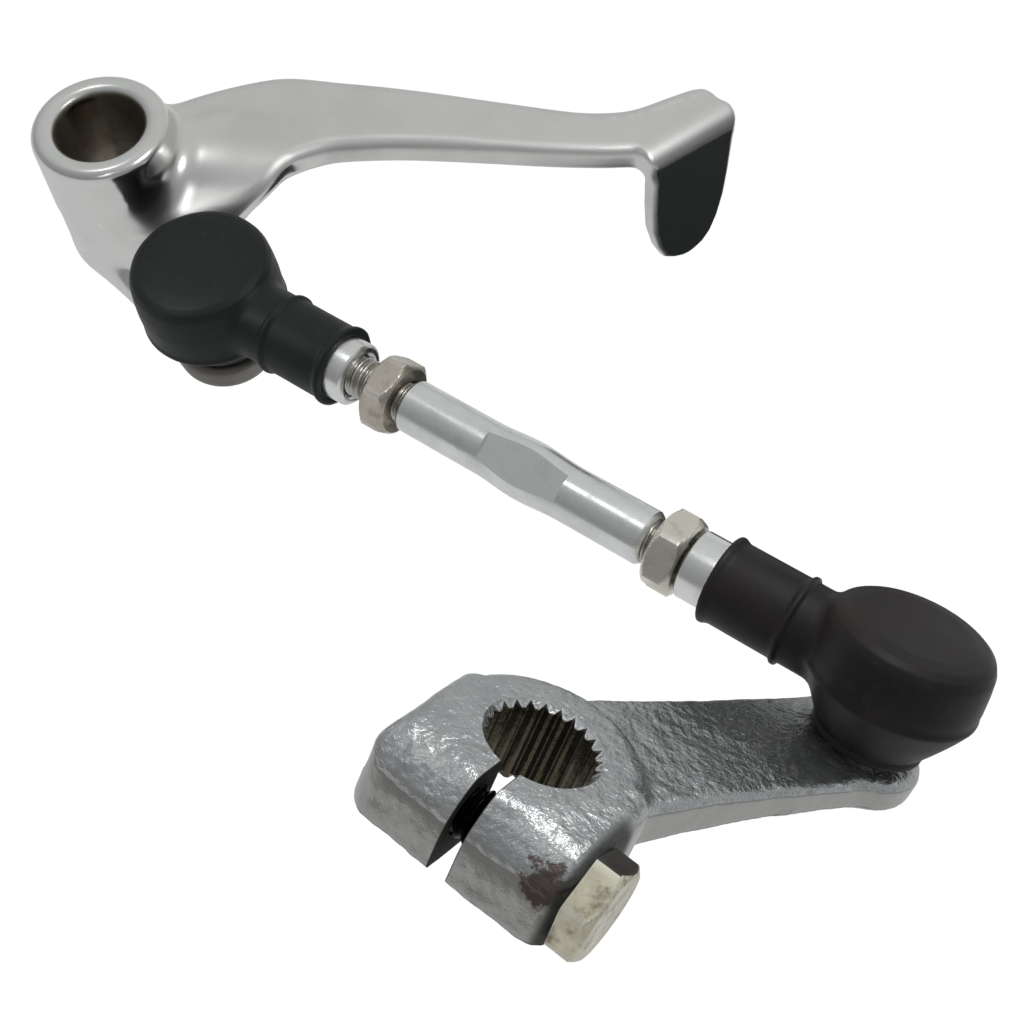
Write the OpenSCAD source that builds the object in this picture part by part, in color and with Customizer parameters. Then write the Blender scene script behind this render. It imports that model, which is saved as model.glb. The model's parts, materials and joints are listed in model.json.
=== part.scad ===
// Gear shift lever set: a pedal on a pivot tube, an adjustable link with two booted
// ball joints, and a splined clamp lever with its pinch bolt.
// Origin: middle of the pivot bore. Z runs along that bore, X toward the toe piece.

/* [Pedal] */
// Length of the pivot tube
hub_length = 25; // [18:0.5:40]
// Outer diameter of the pivot tube
hub_diameter = 20; // [16:0.5:30]
// Pivot bore diameter
pivot_bore = 13; // [8:0.1:16]
// Chamfer at both mouths of the pivot bore
bore_chamfer = 0.6; // [0.2:0.1:1.5]
// Rounding of the tube's upper rim
hub_round = 0.9; // [0.3:0.1:3]
// Rounding of the tube's lower rim
hub_low_round = 2.6; // [0.3:0.1:4]
// Reach of the pedal arm from the pivot to the toe fold
arm_reach = 86; // [60:1:140]
// Width of the pedal arm halfway along
arm_width = 10.6; // [7:0.1:20]
// Thickness of the pedal arm
arm_thickness = 5; // [3:0.1:8]
// How far the arm's face lies under the tube's upper end
arm_drop = 5.4; // [1:0.1:12]
// Edge rounding of the pedal arm
arm_round = 1.5; // [0.5:0.1:3]
// Slope of the shoulder between the arm's root and the short arm
shoulder_slope = 38.5; // [20:0.5:60]
// Distance of the shoulder's upper edge from the pivot axis
shoulder_offset = 2.5; // [0:0.1:8]
// Width of the toe tab at its fold
tab_width = 17; // [8:0.2:30]
// Length of the toe tab under the fold
tab_length = 27.2; // [10:0.5:45]
// Thickness of the toe tab
tab_thickness = 3.4; // [2:0.1:6]
// Radius of the toe tab's fold
fold_radius = 3.2; // [2:0.1:6]
// Turn of the toe tab's fold line against the arm
tab_turn = 37; // [0:1:60]

/* [Short arm of the pedal] */
// Distance from the pivot to the front ball
link_reach = 27.9; // [20:0.1:50]
// Direction of the short arm against the pedal arm
link_turn = -52.8; // [-120:0.2:-20]
// Thickness of the short arm
short_thickness = 4.6; // [3:0.1:8]
// Radius of the short arm's round end
link_end_radius = 7.5; // [5:0.1:12]

/* [Ball joints] */
// Ball diameter
ball_diameter = 9; // [6:0.1:14]
// Diameter of the stud under its collar
stud_diameter = 6; // [4:0.1:10]
// Height of the ball centre over the lever's face
ball_height = 9.8; // [7:0.1:14]
// Diameter of the stud's collar
collar_diameter = 9; // [7:0.1:14]
// Wall of the plastic seat around the ball
seat_wall = 0.9; // [0.5:0.1:2]
// Outer diameter of the socket head
socket_diameter = 16.4; // [13:0.1:24]
// Height of the socket head
socket_height = 11; // [8:0.1:18]
// Outer diameter of the socket's shank
shank_diameter = 9.2; // [7:0.1:14]
// Distance from the ball centre to the shank's end
shank_reach = 28.2; // [20:0.1:50]
// Diameter of the closing plug in the socket
plug_diameter = 12.4; // [10:0.1:16]
// Thickness of the closing plug's rim
plug_thickness = 1.6; // [1:0.1:3]

/* [Rubber boots] */
// Outer diameter of the boot's head
boot_diameter = 21.2; // [16:0.1:30]
// Height of the boot's flat top over the ball centre
boot_top = 7.3; // [5:0.1:12]
// Depth of the boot's mouth under the ball centre
boot_bottom = 8.8; // [6:0.1:12]
// Depth of the front boot's parting ridge under the ball centre
front_ridge = 3.3; // [0:0.1:5]
// Depth of the rear boot's parting ridge under the ball centre
rear_ridge = 0.8; // [0:0.1:5]
// Outer diameter of the boot's sleeve
sleeve_diameter = 11.1; // [9:0.1:16]
// Outer diameter of the lip at the sleeve's end
lip_diameter = 11.9; // [10:0.1:18]
// Bare shank past the front sleeve's lip
front_bare_shank = 2.9; // [1:0.1:8]
// Bare shank past the rear sleeve's lip
rear_bare_shank = 4.2; // [1:0.1:8]

/* [Tie rod] */
// Diameter of the rod's plain middle
rod_diameter = 7.5; // [6:0.1:12]
// Thread diameter of the rod, sockets, nuts and pinch bolt
thread_diameter = 6; // [5:1:8]
// Length of the plain middle
rod_length = 38.8; // [20:0.1:120]
// Depth of thread inside each socket
thread_engagement = 12; // [8:0.5:20]
// Width over the rod's wrench flats
flat_width = 6.4; // [4:0.1:7]
// Length of the wrench flats
flat_length = 12.6; // [6:0.1:25]
// Width over the bulge that the pressed flats push out
bulge_width = 8.3; // [7:0.1:12]
// Distance of the wrench flats' middle from the front end of the plain middle
flat_place = 19.8; // [10:0.1:60]
// Turn of the wrench flats about the rod
flat_turn = 26; // [-90:1:90]
// Hexagon size of the lock nuts and the bolt head
hex_size = 10; // [8:0.5:14]
// Thickness of a lock nut
nut_thickness = 4.2; // [3:0.1:6]
// Turn of the front lock nut about the rod
front_nut_turn = 8; // [0:1:60]
// Turn of the rear lock nut about the rod
rear_nut_turn = 46; // [0:1:60]
// Bare thread between the front shank and its lock nut
front_thread_gap = 3.7; // [0:0.1:12]
// Bare thread between the rear lock nut and the rear shank
rear_thread_gap = 0.3; // [0.1:0.1:12]
// Space between the front lock nut and the rod's shoulder
front_nut_gap = 0.9; // [0:0.1:5]
// Space between the rear lock nut and the rod's shoulder
rear_nut_gap = 1.3; // [0:0.1:5]

/* [Assembly angles] */
// Direction of the link against the pedal arm
link_azimuth = -34.5; // [-90:0.5:20]
// Rise of the link over the pedal's plane
link_rise = 4; // [-6:0.5:6]
// Twist of the rear socket against the front one
socket_twist = -36.6; // [-60:0.2:60]
// Lean of the rear stud in its socket
stud_lean = 4.2; // [-6:0.2:6]
// Swing of the clamp lever against the link
lever_swing = -118.1; // [-160:0.1:-60]

/* [Clamp lever] */
// Distance from the rear ball to the splined bore
lever_reach = 48; // [30:0.5:80]
// Height of the rear ball over the boss's upper face
boss_sink = 5.5; // [0:0.1:12]
// Height of the splined boss
boss_height = 10.6; // [8:0.1:20]
// Radius of the boss round the splined bore
boss_radius = 11.8; // [9:0.1:18]
// Diameter over the crests of the spline
spline_crest = 12; // [10:0.1:16]
// Depth of a spline groove
groove_depth = 0.5; // [0.3:0.05:1]
// Number of spline grooves
groove_count = 24; // [12:1:48]
// Part of each pitch that the groove takes
groove_share = 0.6; // [0.3:0.05:0.65]
// Width of the slit between the ears
slit_width = 2.3; // [1:0.1:5]
// Direction of the slit against the lever
ear_turn = 28; // [-60:0.5:60]
// Reach of the ears from the bore's centre
ear_reach = 14; // [11:0.1:24]
// Half width of the ear on the tapped side
ear_left = 12.7; // [8:0.1:16]
// Half width of the ear under the bolt head
ear_right = 12.6; // [8:0.1:16]
// Thickness of the lever's arm at the boss
lever_thickness = 5.6; // [4:0.1:10]
// Thickness of the lever's round end under the ball
lever_end_thickness = 4.1; // [3:0.1:8]
// Width of the lever's arm
lever_width = 15.3; // [9:0.1:20]
// Radius of the lever's round end under the ball
lever_end_radius = 8.4; // [6:0.1:14]
// Rounding of the lever's upper edges
lever_round = 2.2; // [0.5:0.1:4]

/* [Pinch bolt] */
// Distance of the bolt from the bore's centre
bolt_offset = 9.4; // [8:0.1:14]
// Depth of the bolt under the boss's upper face
bolt_depth = 5; // [4:0.1:12]
// Height of the bolt's head
head_height = 3.4; // [2:0.1:6]
// Turn of the bolt's head
head_turn = 21; // [0:1:60]
// Length of the bolt under its head
bolt_length = 20; // [12:1:40]

/* [Fits] */
// Running clearance of the ball in its seat and of the seat in its socket
ball_clearance = 0.04; // [0.01:0.01:0.1]
// Clearance between a thread and its hole
thread_clearance = 0.04; // [0.01:0.01:0.1]
// Room that the pedal leaves round the front boot
boot_room = 0.4; // [0.2:0.1:1]
// Room between the socket's head and the boot
socket_room = 0.3; // [0.1:0.1:1]
// Clearance between a boot's sleeve and its shank
sleeve_clearance = 0.02; // [0.01:0.01:0.1]

/* [Hidden] */
$fn = 48;
tiny = 0.01;
half_hub = hub_length / 2;
arm_top = half_hub - arm_drop;
arm_mid = arm_top - arm_thickness / 2;
arm_scale = arm_reach / 86;
side_scale = arm_width / 10.6;
hub_radius = hub_diameter / 2;
ball_radius = ball_diameter / 2;
seat_inner = ball_radius + ball_clearance;
seat_outer = seat_inner + seat_wall;
cavity_radius = seat_outer + ball_clearance;
socket_radius = socket_diameter / 2;
half_socket = socket_height / 2;
neck_radius = 0.56 * ball_radius;
collar_top = ball_height - 3.3;
mouth_radius = neck_radius + 1.7;
shank_radius = shank_diameter / 2;
thread_hole = thread_diameter / 2 + thread_clearance;
link_top = -half_hub + short_thickness;
front_ball_z = link_top + ball_height;
boot_radius = boot_diameter / 2;
boot_bead = 0.15;
boot_inner = socket_radius + socket_room;
boot_mouth = collar_diameter / 2 + 1;
boot_lip = boot_mouth + 1.5;
socket_low_round = 2.2;
room_round = socket_low_round + socket_room;
rivet_height = 0.9;
front_nut_start = shank_reach + front_thread_gap;
rod_start = front_nut_start + nut_thickness + front_nut_gap;
rod_end = rod_start + rod_length;
rear_nut_start = rod_end + rear_nut_gap;
ball_span = rear_nut_start + nut_thickness + rear_thread_gap + shank_reach;
hex_chamfer = 0.8;
hex_face_cut = 1;
sleeve_ring_back = 10.6;
boss_top = -boss_sink;
lever_top = -ball_height;
lever_bottom = boss_top - boss_height;
nose_round = 6;
nose_drop = 6.6;
ear_plan_round = 3;
left_plan_round = 4.2;
side_round = 2.6;
left_drop = 6.5;

// Shared helpers.

// A rounded rectangle: side half width a, half height b, corner radius r.
function round_rect(a, b, r, n = 5) = [
  for (q = [0:3], k = [0:n])
    let (
      t = 90 * q + 90 * k / n,
      cx = (q == 0 || q == 3) ? a - r : r - a,
      cy = (q < 2) ? b - r : r - b
    )
    [cx + r * cos(t), cy + r * sin(t)]
];

// A closed skin over equal rings of points.
module skin(rings) {
  m = len(rings[0]);
  last = len(rings) - 1;
  polyhedron(
    points = [for (ring = rings) each ring],
    faces = concat(
      [[for (k = [0:m - 1]) k]],
      [for (i = [0:last - 1], k = [0:m - 1])
        let (a = i * m + k, b = i * m + (k + 1) % m)
        [a, a + m, b + m, b]],
      [[for (k = [m - 1:-1:0]) last * m + k]]
    ),
    convexity = 4
  );
}

// Smooth blend of four neighbouring values.
function glide(a, b, c, d, t) =
  0.5 * (2 * b + (c - a) * t + (2 * a - 5 * b + 4 * c - d) * t * t
    + (3 * b - a - 3 * c + d) * t * t * t);

// A smooth curve through a list of stations.
function smooth(p, steps) = [
  for (i = [0:len(p) - 2], k = [0:steps - 1])
    glide(p[max(i - 1, 0)], p[i], p[i + 1], p[min(i + 2, len(p) - 1)], k / steps),
  p[len(p) - 1]
];

// Places its children in the frame of the link: X along the rod, origin at the front ball.
module on_link() {
  translate([link_reach * cos(link_turn), link_reach * sin(link_turn), front_ball_z])
    rotate([0, -link_rise, link_azimuth])
      children();
}

// The rear socket's frame: origin at the rear ball, X back along the rod.
module on_rear_socket() {
  on_link()
    translate([ball_span, 0, 0])
      rotate([socket_twist, 0, 0])
        children();
}

// The clamp lever's frame: origin at the rear ball, X toward the splined bore.
module on_lever() {
  on_rear_socket()
    rotate([0, stud_lean, 0])
      rotate([0, 0, lever_swing])
        children();
}

// The splined bore's frame: X toward the ears, Y toward the bolt head.
module on_boss() {
  translate([lever_reach, 0, boss_top])
    rotate([0, 0, ear_turn])
      children();
}

// A round bar with both rims rounded, from z = 0 up.
module soft_disc(r, h, top_r, low_r, n = 96) {
  rotate_extrude($fn = n)
    polygon(concat(
      [[0, 0]],
      [for (k = [0:5]) [r - low_r + low_r * sin(18 * k), low_r - low_r * cos(18 * k)]],
      [for (k = [0:5]) [r - top_r + top_r * cos(18 * k), h - top_r + top_r * sin(18 * k)]],
      [[0, h]]
    ));
}

// Pedal.

// Stations of the pedal arm: [x, y of the far edge, y of the near edge].
arm_stations = [
  [4, 8.5, -8.8], [8.5, 10, -9.4], [12, 11.7, -9.8], [16, 13.1, -9.8], [20, 14.2, -8.4],
  [24, 15.1, -4.4], [28, 15.1, -1.3], [34, 14.2, 0.8], [40, 13.5, 1.2], [47, 12.3, 1.15],
  [55, 10.8, 0.65], [62, 9.45, 0.1], [69, 8.1, -0.2], [75, 7.95, -0.4], [80, 8.7, -0.3]
];

module pedal_arm() {
  rings = [
    for (s = smooth(arm_stations, 4))
      let (half = side_scale * (s[1] - s[2]) / 2, mid = side_scale * (s[1] + s[2]) / 2)
      [for (p = round_rect(half, arm_thickness / 2, arm_round))
        [s[0] * arm_scale, mid + p[0], arm_mid + p[1]]]
  ];
  skin(rings);
}

// Stations of the toe tab: [distance behind the face in tab widths, height over the plate's
// middle in tab lengths, left and right edge in tab widths, lean of the plate].
tab_stations = concat(
  [
    [0.494, 0, 0.176, 0.382, 0],
    [0.471, 0, 0.141, 0.618, 0],
    [0.424, 0, 0.118, 0.835, 0],
    [0.353, 0, 0.106, 0.953, 0],
    [0.265, 0, 0.094, 1.012, 0]
  ],
  [for (k = [0:5])
    [(fold_radius - fold_radius * sin(18 * k)) / tab_width, 0, 0.082 - 0.003 * k, 1.024 - 0.004 * k, 18 * k]],
  [
    [0, -0.23, 0.065, 1, 90],
    [0, -0.4, 0.078, 0.99, 90],
    [0, -0.59, 0.108, 0.975, 90],
    [0, -0.77, 0.195, 0.92, 90],
    [0, -0.89, 0.29, 0.84, 90],
    [0, -0.96, 0.39, 0.755, 90],
    [0, -0.99, 0.51, 0.645, 90]
  ]
);

// The plate's section ring for one station; its own height over the fold falls with the lean.
function tab_ring(s) =
  let (
    half = tab_width * (s[3] - s[2]) / 2,
    mid = tab_width * (s[3] + s[2]) / 2,
    sink = s[1] < 0 ? s[1] * tab_length : fold_radius * (cos(s[4]) - 1)
  )
  [for (p = round_rect(half, tab_thickness / 2, min(1.3, tab_thickness / 2 - 0.1)))
    [mid + p[0], s[0] * tab_width + tab_thickness / 2 - p[1] * sin(s[4]), sink + p[1] * cos(s[4])]];

module toe_tab() {
  translate([80.5 * arm_scale, -3 * side_scale, arm_mid + (arm_thickness - tab_thickness) / 2])
    rotate([0, 0, tab_turn])
      skin([for (s = tab_stations) tab_ring(s)]);
}

module short_arm() {
  link_x = link_reach * cos(link_turn);
  link_y = link_reach * sin(link_turn);
  hull() {
    translate([0, 0, -half_hub])
      soft_disc(0.8 * hub_radius, short_thickness, arm_round, arm_round, 32);
    translate([link_x, link_y, -half_hub])
      soft_disc(link_end_radius, short_thickness, arm_round, arm_round, 32);
  }
}

// The web that carries the pedal arm's root down to the short arm.
module root_web() {
  hull() {
    translate([0.8 * hub_radius, -0.4 * hub_radius, arm_top - arm_thickness])
      soft_disc(0.75 * hub_radius, arm_thickness, arm_round, arm_round, 32);
    translate([1.7 * hub_radius, 0, arm_top - arm_thickness])
      soft_disc(0.84 * hub_radius, arm_thickness, arm_round, arm_round, 32);
    translate([0.6 * hub_radius, -0.8 * hub_radius, -half_hub])
      soft_disc(0.6 * hub_radius, short_thickness, arm_round, arm_round, 32);
  }
}

// The space over the slope that runs from the arm's face down to the short arm.
module over_shoulder() {
  translate([1.2 * hub_radius, -shoulder_offset, arm_top])
    rotate([shoulder_slope, -6, 0])
      translate([-3 * hub_radius, -4 * hub_radius, 0])
        cube([6 * hub_radius, 6 * hub_radius, hub_length]);
}

module pedal_lever() {
  color("silver")
    difference() {
      union() {
        translate([0, 0, -half_hub])
          soft_disc(hub_radius, hub_length, hub_round, hub_low_round);
        difference() {
          union() {
            pedal_arm();
            root_web();
          }
          over_shoulder();
        }
        toe_tab();
        short_arm();
      }
      cylinder(d = pivot_bore, h = hub_length + 2, center = true, $fn = 96);
      for (side = [-1, 1])
        translate([0, 0, side * (half_hub - bore_chamfer / 2 + tiny)])
          cylinder(
            d1 = pivot_bore + (side < 0 ? 2 * bore_chamfer : 0),
            d2 = pivot_bore + (side > 0 ? 2 * bore_chamfer : 0),
            h = bore_chamfer + tiny, center = true, $fn = 96
          );
      translate([link_reach * cos(link_turn), link_reach * sin(link_turn), -half_hub - 1])
        cylinder(d = stud_diameter, h = short_thickness + 2);
      translate([link_reach * cos(link_turn), link_reach * sin(link_turn), link_top + boot_room])
        cylinder(r = boot_radius + boot_bead + boot_room, h = hub_length, $fn = 96);
    }
}

// Ball joint pieces: the ball's centre is the origin and the stud points down.

module ball_stud(grip) {
  color("dimgray")
    union() {
      sphere(r = ball_radius, $fn = 64);
      translate([0, 0, -collar_top - tiny])
        cylinder(r = neck_radius, h = collar_top);
      translate([0, 0, -ball_height])
        cylinder(d = collar_diameter, h = ball_height - collar_top);
      translate([0, 0, -ball_height - grip])
        cylinder(d = stud_diameter, h = grip + tiny);
      translate([0, 0, -ball_height - grip - rivet_height])
        cylinder(d1 = stud_diameter - 0.6, d2 = stud_diameter + 2, h = rivet_height);
    }
}

module seat() {
  color("ivory")
    difference() {
      sphere(r = seat_outer, $fn = 64);
      sphere(r = seat_inner, $fn = 64);
      translate([0, 0, -seat_outer - 1])
        cylinder(r = neck_radius + 0.7, h = seat_outer + 1);
      translate([0, 0, -seat_outer - 1])
        cylinder(r = seat_outer + 1, h = seat_outer - 2.4);
    }
}

module socket_shell() {
  difference() {
    union() {
      translate([0, 0, -half_socket])
        soft_disc(socket_radius, socket_height, 1, socket_low_round);
      rotate([0, 90, 0])
        cylinder(r = shank_radius, h = shank_reach - 0.5);
      translate([shank_reach - 0.5 - tiny, 0, 0])
        rotate([0, 90, 0])
          cylinder(r1 = shank_radius, r2 = shank_radius - 0.5, h = 0.5 + tiny);
    }
    sphere(r = cavity_radius, $fn = 64);
    translate([0, 0, -half_socket - 1])
      cylinder(r = mouth_radius, h = half_socket + 1);
    cylinder(r = cavity_radius, h = half_socket - plug_thickness);
    translate([0, 0, half_socket - plug_thickness])
      cylinder(d = plug_diameter, h = plug_thickness + 1);
    translate([shank_reach - thread_engagement - 1, 0, 0])
      rotate([0, 90, 0])
        cylinder(r = thread_hole, h = thread_engagement + 2);
    translate([shank_reach - 0.5, 0, 0])
      rotate([0, 90, 0])
        cylinder(r1 = thread_hole, r2 = thread_hole + 0.6, h = 0.6);
  }
}

module plug() {
  color("silver")
    difference() {
      translate([0, 0, half_socket - plug_thickness])
        cylinder(d = plug_diameter - 2 * ball_clearance, h = plug_thickness - 0.2);
      sphere(r = cavity_radius, $fn = 64);
    }
}

// Half outline of the boot's head, from the mouth up to the top's middle. The skirt widens
// in a soft curve from its lip to the parting ridge.
function boot_profile(ridge) = concat(
  [
    [boot_lip - 0.2, -boot_bottom],
    [boot_lip, -boot_bottom + 0.3],
    [boot_lip, -boot_bottom + 0.9],
    [boot_lip - 0.25, -boot_bottom + 1.1]
  ],
  [for (k = [8:-1:1])
    let (t = k / 8)
    [boot_radius + (boot_lip - boot_radius) * pow(t, 1.15),
      -ridge - 0.3 + (ridge + 1.6 - boot_bottom) * t]],
  [
    [boot_radius + boot_bead, -ridge - 0.1],
    [boot_radius + boot_bead, -ridge + 0.2],
    [boot_radius - 0.05, -ridge + 0.5],
    [boot_radius, 0.9],
    [boot_radius - 0.15, 3.2],
    [boot_radius - 0.4, 5.2],
    [boot_radius - 0.9, 6.3],
    [boot_radius - 1.8, boot_top - 0.4],
    [boot_radius - 3.6, boot_top - 0.1],
    [0, boot_top]
  ]
);

module boot(lip_reach, ridge) {
  ring_reach = lip_reach - sleeve_ring_back;
  color("darkslategray")
    difference() {
      union() {
        rotate_extrude($fn = 96)
          polygon(concat([[0, -boot_bottom]], boot_profile(ridge)));
        rotate([0, 90, 0])
          cylinder(d = sleeve_diameter, h = lip_reach);
        translate([lip_reach - 1.2, 0, 0])
          rotate([0, 90, 0])
            cylinder(d1 = sleeve_diameter, d2 = lip_diameter, h = 0.8);
        translate([lip_reach - 0.4 - tiny, 0, 0])
          rotate([0, 90, 0])
            cylinder(d = lip_diameter, h = 0.4 + tiny);
        translate([ring_reach - 0.35, 0, 0])
          rotate([0, 90, 0])
            cylinder(d = lip_diameter + 0.3, h = 0.7);
      }
      rotate_extrude($fn = 96)
        polygon(concat(
          [[0, -boot_bottom - tiny], [boot_mouth, -boot_bottom - tiny]],
          [for (k = [0:6])
            [boot_inner - room_round + room_round * sin(15 * k),
              room_round - room_round * cos(15 * k) - half_socket - socket_room]],
          [[boot_inner, half_socket + socket_room / 2], [0, half_socket + socket_room / 2]]
        ));
      rotate([0, 90, 0])
        cylinder(r = shank_radius + sleeve_clearance, h = lip_reach + 1);
    }
}

module at_front() {
  translate([link_reach * cos(link_turn), link_reach * sin(link_turn), front_ball_z])
    children();
}

module front_stud() {
  at_front()
    ball_stud(short_thickness);
}

module front_seat() {
  at_front()
    seat();
}

module front_socket() {
  color("gainsboro")
    on_link()
      socket_shell();
}

module front_plug() {
  on_link()
    plug();
}

module front_boot() {
  on_link()
    boot(shank_reach - front_bare_shank, front_ridge);
}

module rear_stud() {
  on_lever()
    ball_stud(lever_end_thickness);
}

module rear_seat() {
  on_lever()
    seat();
}

module rear_socket() {
  color("gainsboro")
    on_rear_socket()
      rotate([0, 0, 180])
        socket_shell();
}

module rear_plug() {
  on_rear_socket()
    plug();
}

module rear_boot() {
  on_rear_socket()
    rotate([0, 0, 180])
      boot(shank_reach - rear_bare_shank, rear_ridge);
}

// Tie rod and lock nuts.

// Half outline of the rod's plain middle: it bulges where the flats are pressed in.
module rod_outline() {
  half = flat_length / 2 + 0.6;
  polygon(concat(
    [[0, 0], [rod_diameter / 2 - 0.5, 0], [rod_diameter / 2, 0.6]],
    [for (k = [0:16])
      [rod_diameter / 2 + (bulge_width - rod_diameter) / 4 * (1 - cos(22.5 * k)),
        flat_place - half + half * k / 8]],
    [[rod_diameter / 2, rod_length - 0.6], [rod_diameter / 2 - 0.5, rod_length], [0, rod_length]]
  ));
}

module tie_rod() {
  thread_start = shank_reach - thread_engagement;
  color("lightgray")
    on_link() {
      translate([thread_start, 0, 0])
        rotate([0, 90, 0])
          cylinder(d = thread_diameter, h = ball_span - 2 * thread_start);
      difference() {
        translate([rod_start, 0, 0])
          rotate([0, 90, 0])
            rotate_extrude($fn = 64)
              rod_outline();
        for (side = [-1, 1])
          translate([rod_start + flat_place, 0, 0])
            rotate([flat_turn, 0, 0])
              translate([0, 0, side * (flat_width / 2 + rod_diameter / 2)])
                cube([flat_length, 2 * rod_diameter, rod_diameter], center = true);
      }
    }
}

// A hexagon with both faces chamfered to a circle, from x = 0 along X.
module hexagon(size, length, both_faces) {
  corner = size / cos(30) / 2;
  rotate([0, 90, 0])
    intersection() {
      cylinder(r = corner, h = length, $fn = 6);
      rotate_extrude($fn = 64)
        polygon([
          [0, 0], [both_faces ? corner - hex_face_cut : corner + tiny, 0],
          [corner + tiny, hex_chamfer], [corner + tiny, length - hex_chamfer],
          [corner - hex_face_cut, length], [0, length]
        ]);
    }
}

module lock_nut(start, turn) {
  color("wheat")
    on_link()
      translate([start, 0, 0])
        rotate([turn, 0, 0])
          difference() {
            hexagon(hex_size, nut_thickness, true);
            translate([-1, 0, 0])
              rotate([0, 90, 0])
                cylinder(r = thread_hole, h = nut_thickness + 2);
          }
}

module front_nut() {
  lock_nut(front_nut_start, front_nut_turn);
}

module rear_nut() {
  lock_nut(rear_nut_start, rear_nut_turn);
}

// Clamp lever.

// Side outline of the ears: X toward their ends, Y up; the nose falls in a round.
module ear_side() {
  polygon(concat(
    [[0, -boss_height], [ear_reach - 0.4, -boss_height], [ear_reach, -boss_height + 0.6],
      [ear_reach, -nose_drop]],
    [for (k = [0:9])
      [ear_reach - nose_round + nose_round * cos(10 * k), -nose_drop + nose_drop * sin(10 * k)]],
    [[0, 0]]
  ));
}

// End view of the ears: X across them, Y up, both upper edges rounded.
module ear_front() {
  polygon(concat(
    [[-ear_left, -boss_height], [ear_right, -boss_height]],
    [for (k = [0:6])
      [ear_right - side_round + side_round * cos(15 * k), -side_round + side_round * sin(15 * k)]],
    [for (k = [0:8])
      [-ear_left + side_round - side_round * sin(11.25 * k), -left_drop + left_drop * cos(11.25 * k)]]
  ));
}

// Plan view of the ears with round outer corners.
module ear_plan() {
  polygon(concat(
    [[0, -ear_left]],
    [for (k = [0:6])
      [ear_reach - left_plan_round + left_plan_round * sin(15 * k),
        -ear_left + left_plan_round - left_plan_round * cos(15 * k)]],
    [for (k = [0:6])
      [ear_reach - ear_plan_round + ear_plan_round * cos(15 * k),
        ear_right - ear_plan_round + ear_plan_round * sin(15 * k)]],
    [[0, ear_right]]
  ));
}

module ears() {
  intersection() {
    translate([0, ear_right + 1, 0])
      rotate([90, 0, 0])
        linear_extrude(height = ear_left + ear_right + 2)
          ear_side();
    rotate([90, 0, 90])
      linear_extrude(height = ear_reach + 1)
        ear_front();
    translate([0, 0, -boss_height - 1])
      linear_extrude(height = boss_height + 2)
        ear_plan();
  }
}

// Stations of the lever's arm from the ball to the boss, in lever widths:
// [distance in reaches, far edge, near edge, part of the way from end to full thickness].
lever_stations = [
  [0, -0.54, 0.46, 0], [0.12, -0.57, 0.47, 0], [0.25, -0.59, 0.46, 0.12],
  [0.38, -0.605, 0.44, 0.3], [0.5, -0.63, 0.435, 0.52], [0.6, -0.665, 0.44, 0.75],
  [0.7, -0.7, 0.45, 0.95], [0.8, -0.71, 0.46, 1], [0.92, -0.66, 0.4, 1]
];

// One corner of the arm's section as an arc of radii a across and b up.
function arc(cx, cy, a, b, from, n = 4) =
  [for (k = [0:n]) [cx + a * cos(from + 90 * k / n), cy + b * sin(from + 90 * k / n)]];

function lever_ring(s) =
  let (
    far = s[1] * lever_width,
    near = s[2] * lever_width,
    low = lever_top - lever_end_thickness - s[3] * (lever_thickness - lever_end_thickness),
    top = lever_top
  )
  [for (p = concat(
    arc(near - 1.1, top - 1, 1.1, 1, 0),
    arc(far + lever_round, top - 1.7, lever_round, 1.7, 90),
    arc(far + 0.8, low + 0.8, 0.8, 0.8, 180),
    arc(near - 0.8, low + 0.8, 0.8, 0.8, 270)
  ))
    [s[0] * lever_reach, p[0], p[1]]];

module lever_arm() {
  skin([for (s = smooth(lever_stations, 3)) lever_ring(s)]);
}

module spline_grooves() {
  crest = spline_crest / 2;
  half_angle = 180 / groove_count * groove_share;
  for (k = [0:groove_count - 1])
    rotate([0, 0, 360 / groove_count * k])
      translate([0, 0, -boss_height - 1])
        linear_extrude(height = boss_height + 2)
          polygon([
            [crest * cos(half_angle) - 0.2, -crest * sin(half_angle)],
            [crest + groove_depth, 0],
            [crest * cos(half_angle) - 0.2, crest * sin(half_angle)]
          ]);
}

module clamp_lever() {
  color("silver")
    on_lever()
      difference() {
        union() {
          on_boss() {
            translate([0, 0, -boss_height])
              soft_disc(boss_radius, boss_height, 2.6, 0.5);
            ears();
          }
          lever_arm();
          translate([0, 0, lever_top - lever_end_thickness])
            soft_disc(lever_end_radius, lever_end_thickness, 1.2, 0.8);
        }
        on_boss() {
          translate([0, 0, -boss_height - 1])
            cylinder(d = spline_crest, h = boss_height + 2, $fn = 96);
          spline_grooves();
          translate([0, -slit_width / 2, -boss_height - 1])
            cube([ear_reach + 2, slit_width, boss_height + 2]);
          translate([bolt_offset, ear_right + 1, -bolt_depth])
            rotate([90, 0, 0])
              cylinder(r = thread_hole, h = ear_left + ear_right + 2);
        }
        translate([0, 0, lever_top - lever_thickness - 1])
          cylinder(d = stud_diameter, h = lever_thickness + 2);
      }
}

module clamp_bolt() {
  color("wheat")
    on_lever()
      on_boss()
        translate([bolt_offset, ear_right, -bolt_depth])
          rotate([0, 0, 90]) {
            rotate([head_turn, 0, 0])
              hexagon(hex_size, head_height, false);
            rotate([0, -90, 0])
              cylinder(d = thread_diameter, h = bolt_length);
          }
}

pedal_lever();
front_stud();
front_seat();
front_socket();
front_plug();
front_boot();
front_nut();
tie_rod();
rear_nut();
rear_boot();
rear_plug();
rear_socket();
rear_seat();
rear_stud();
clamp_lever();
clamp_bolt();
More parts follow.
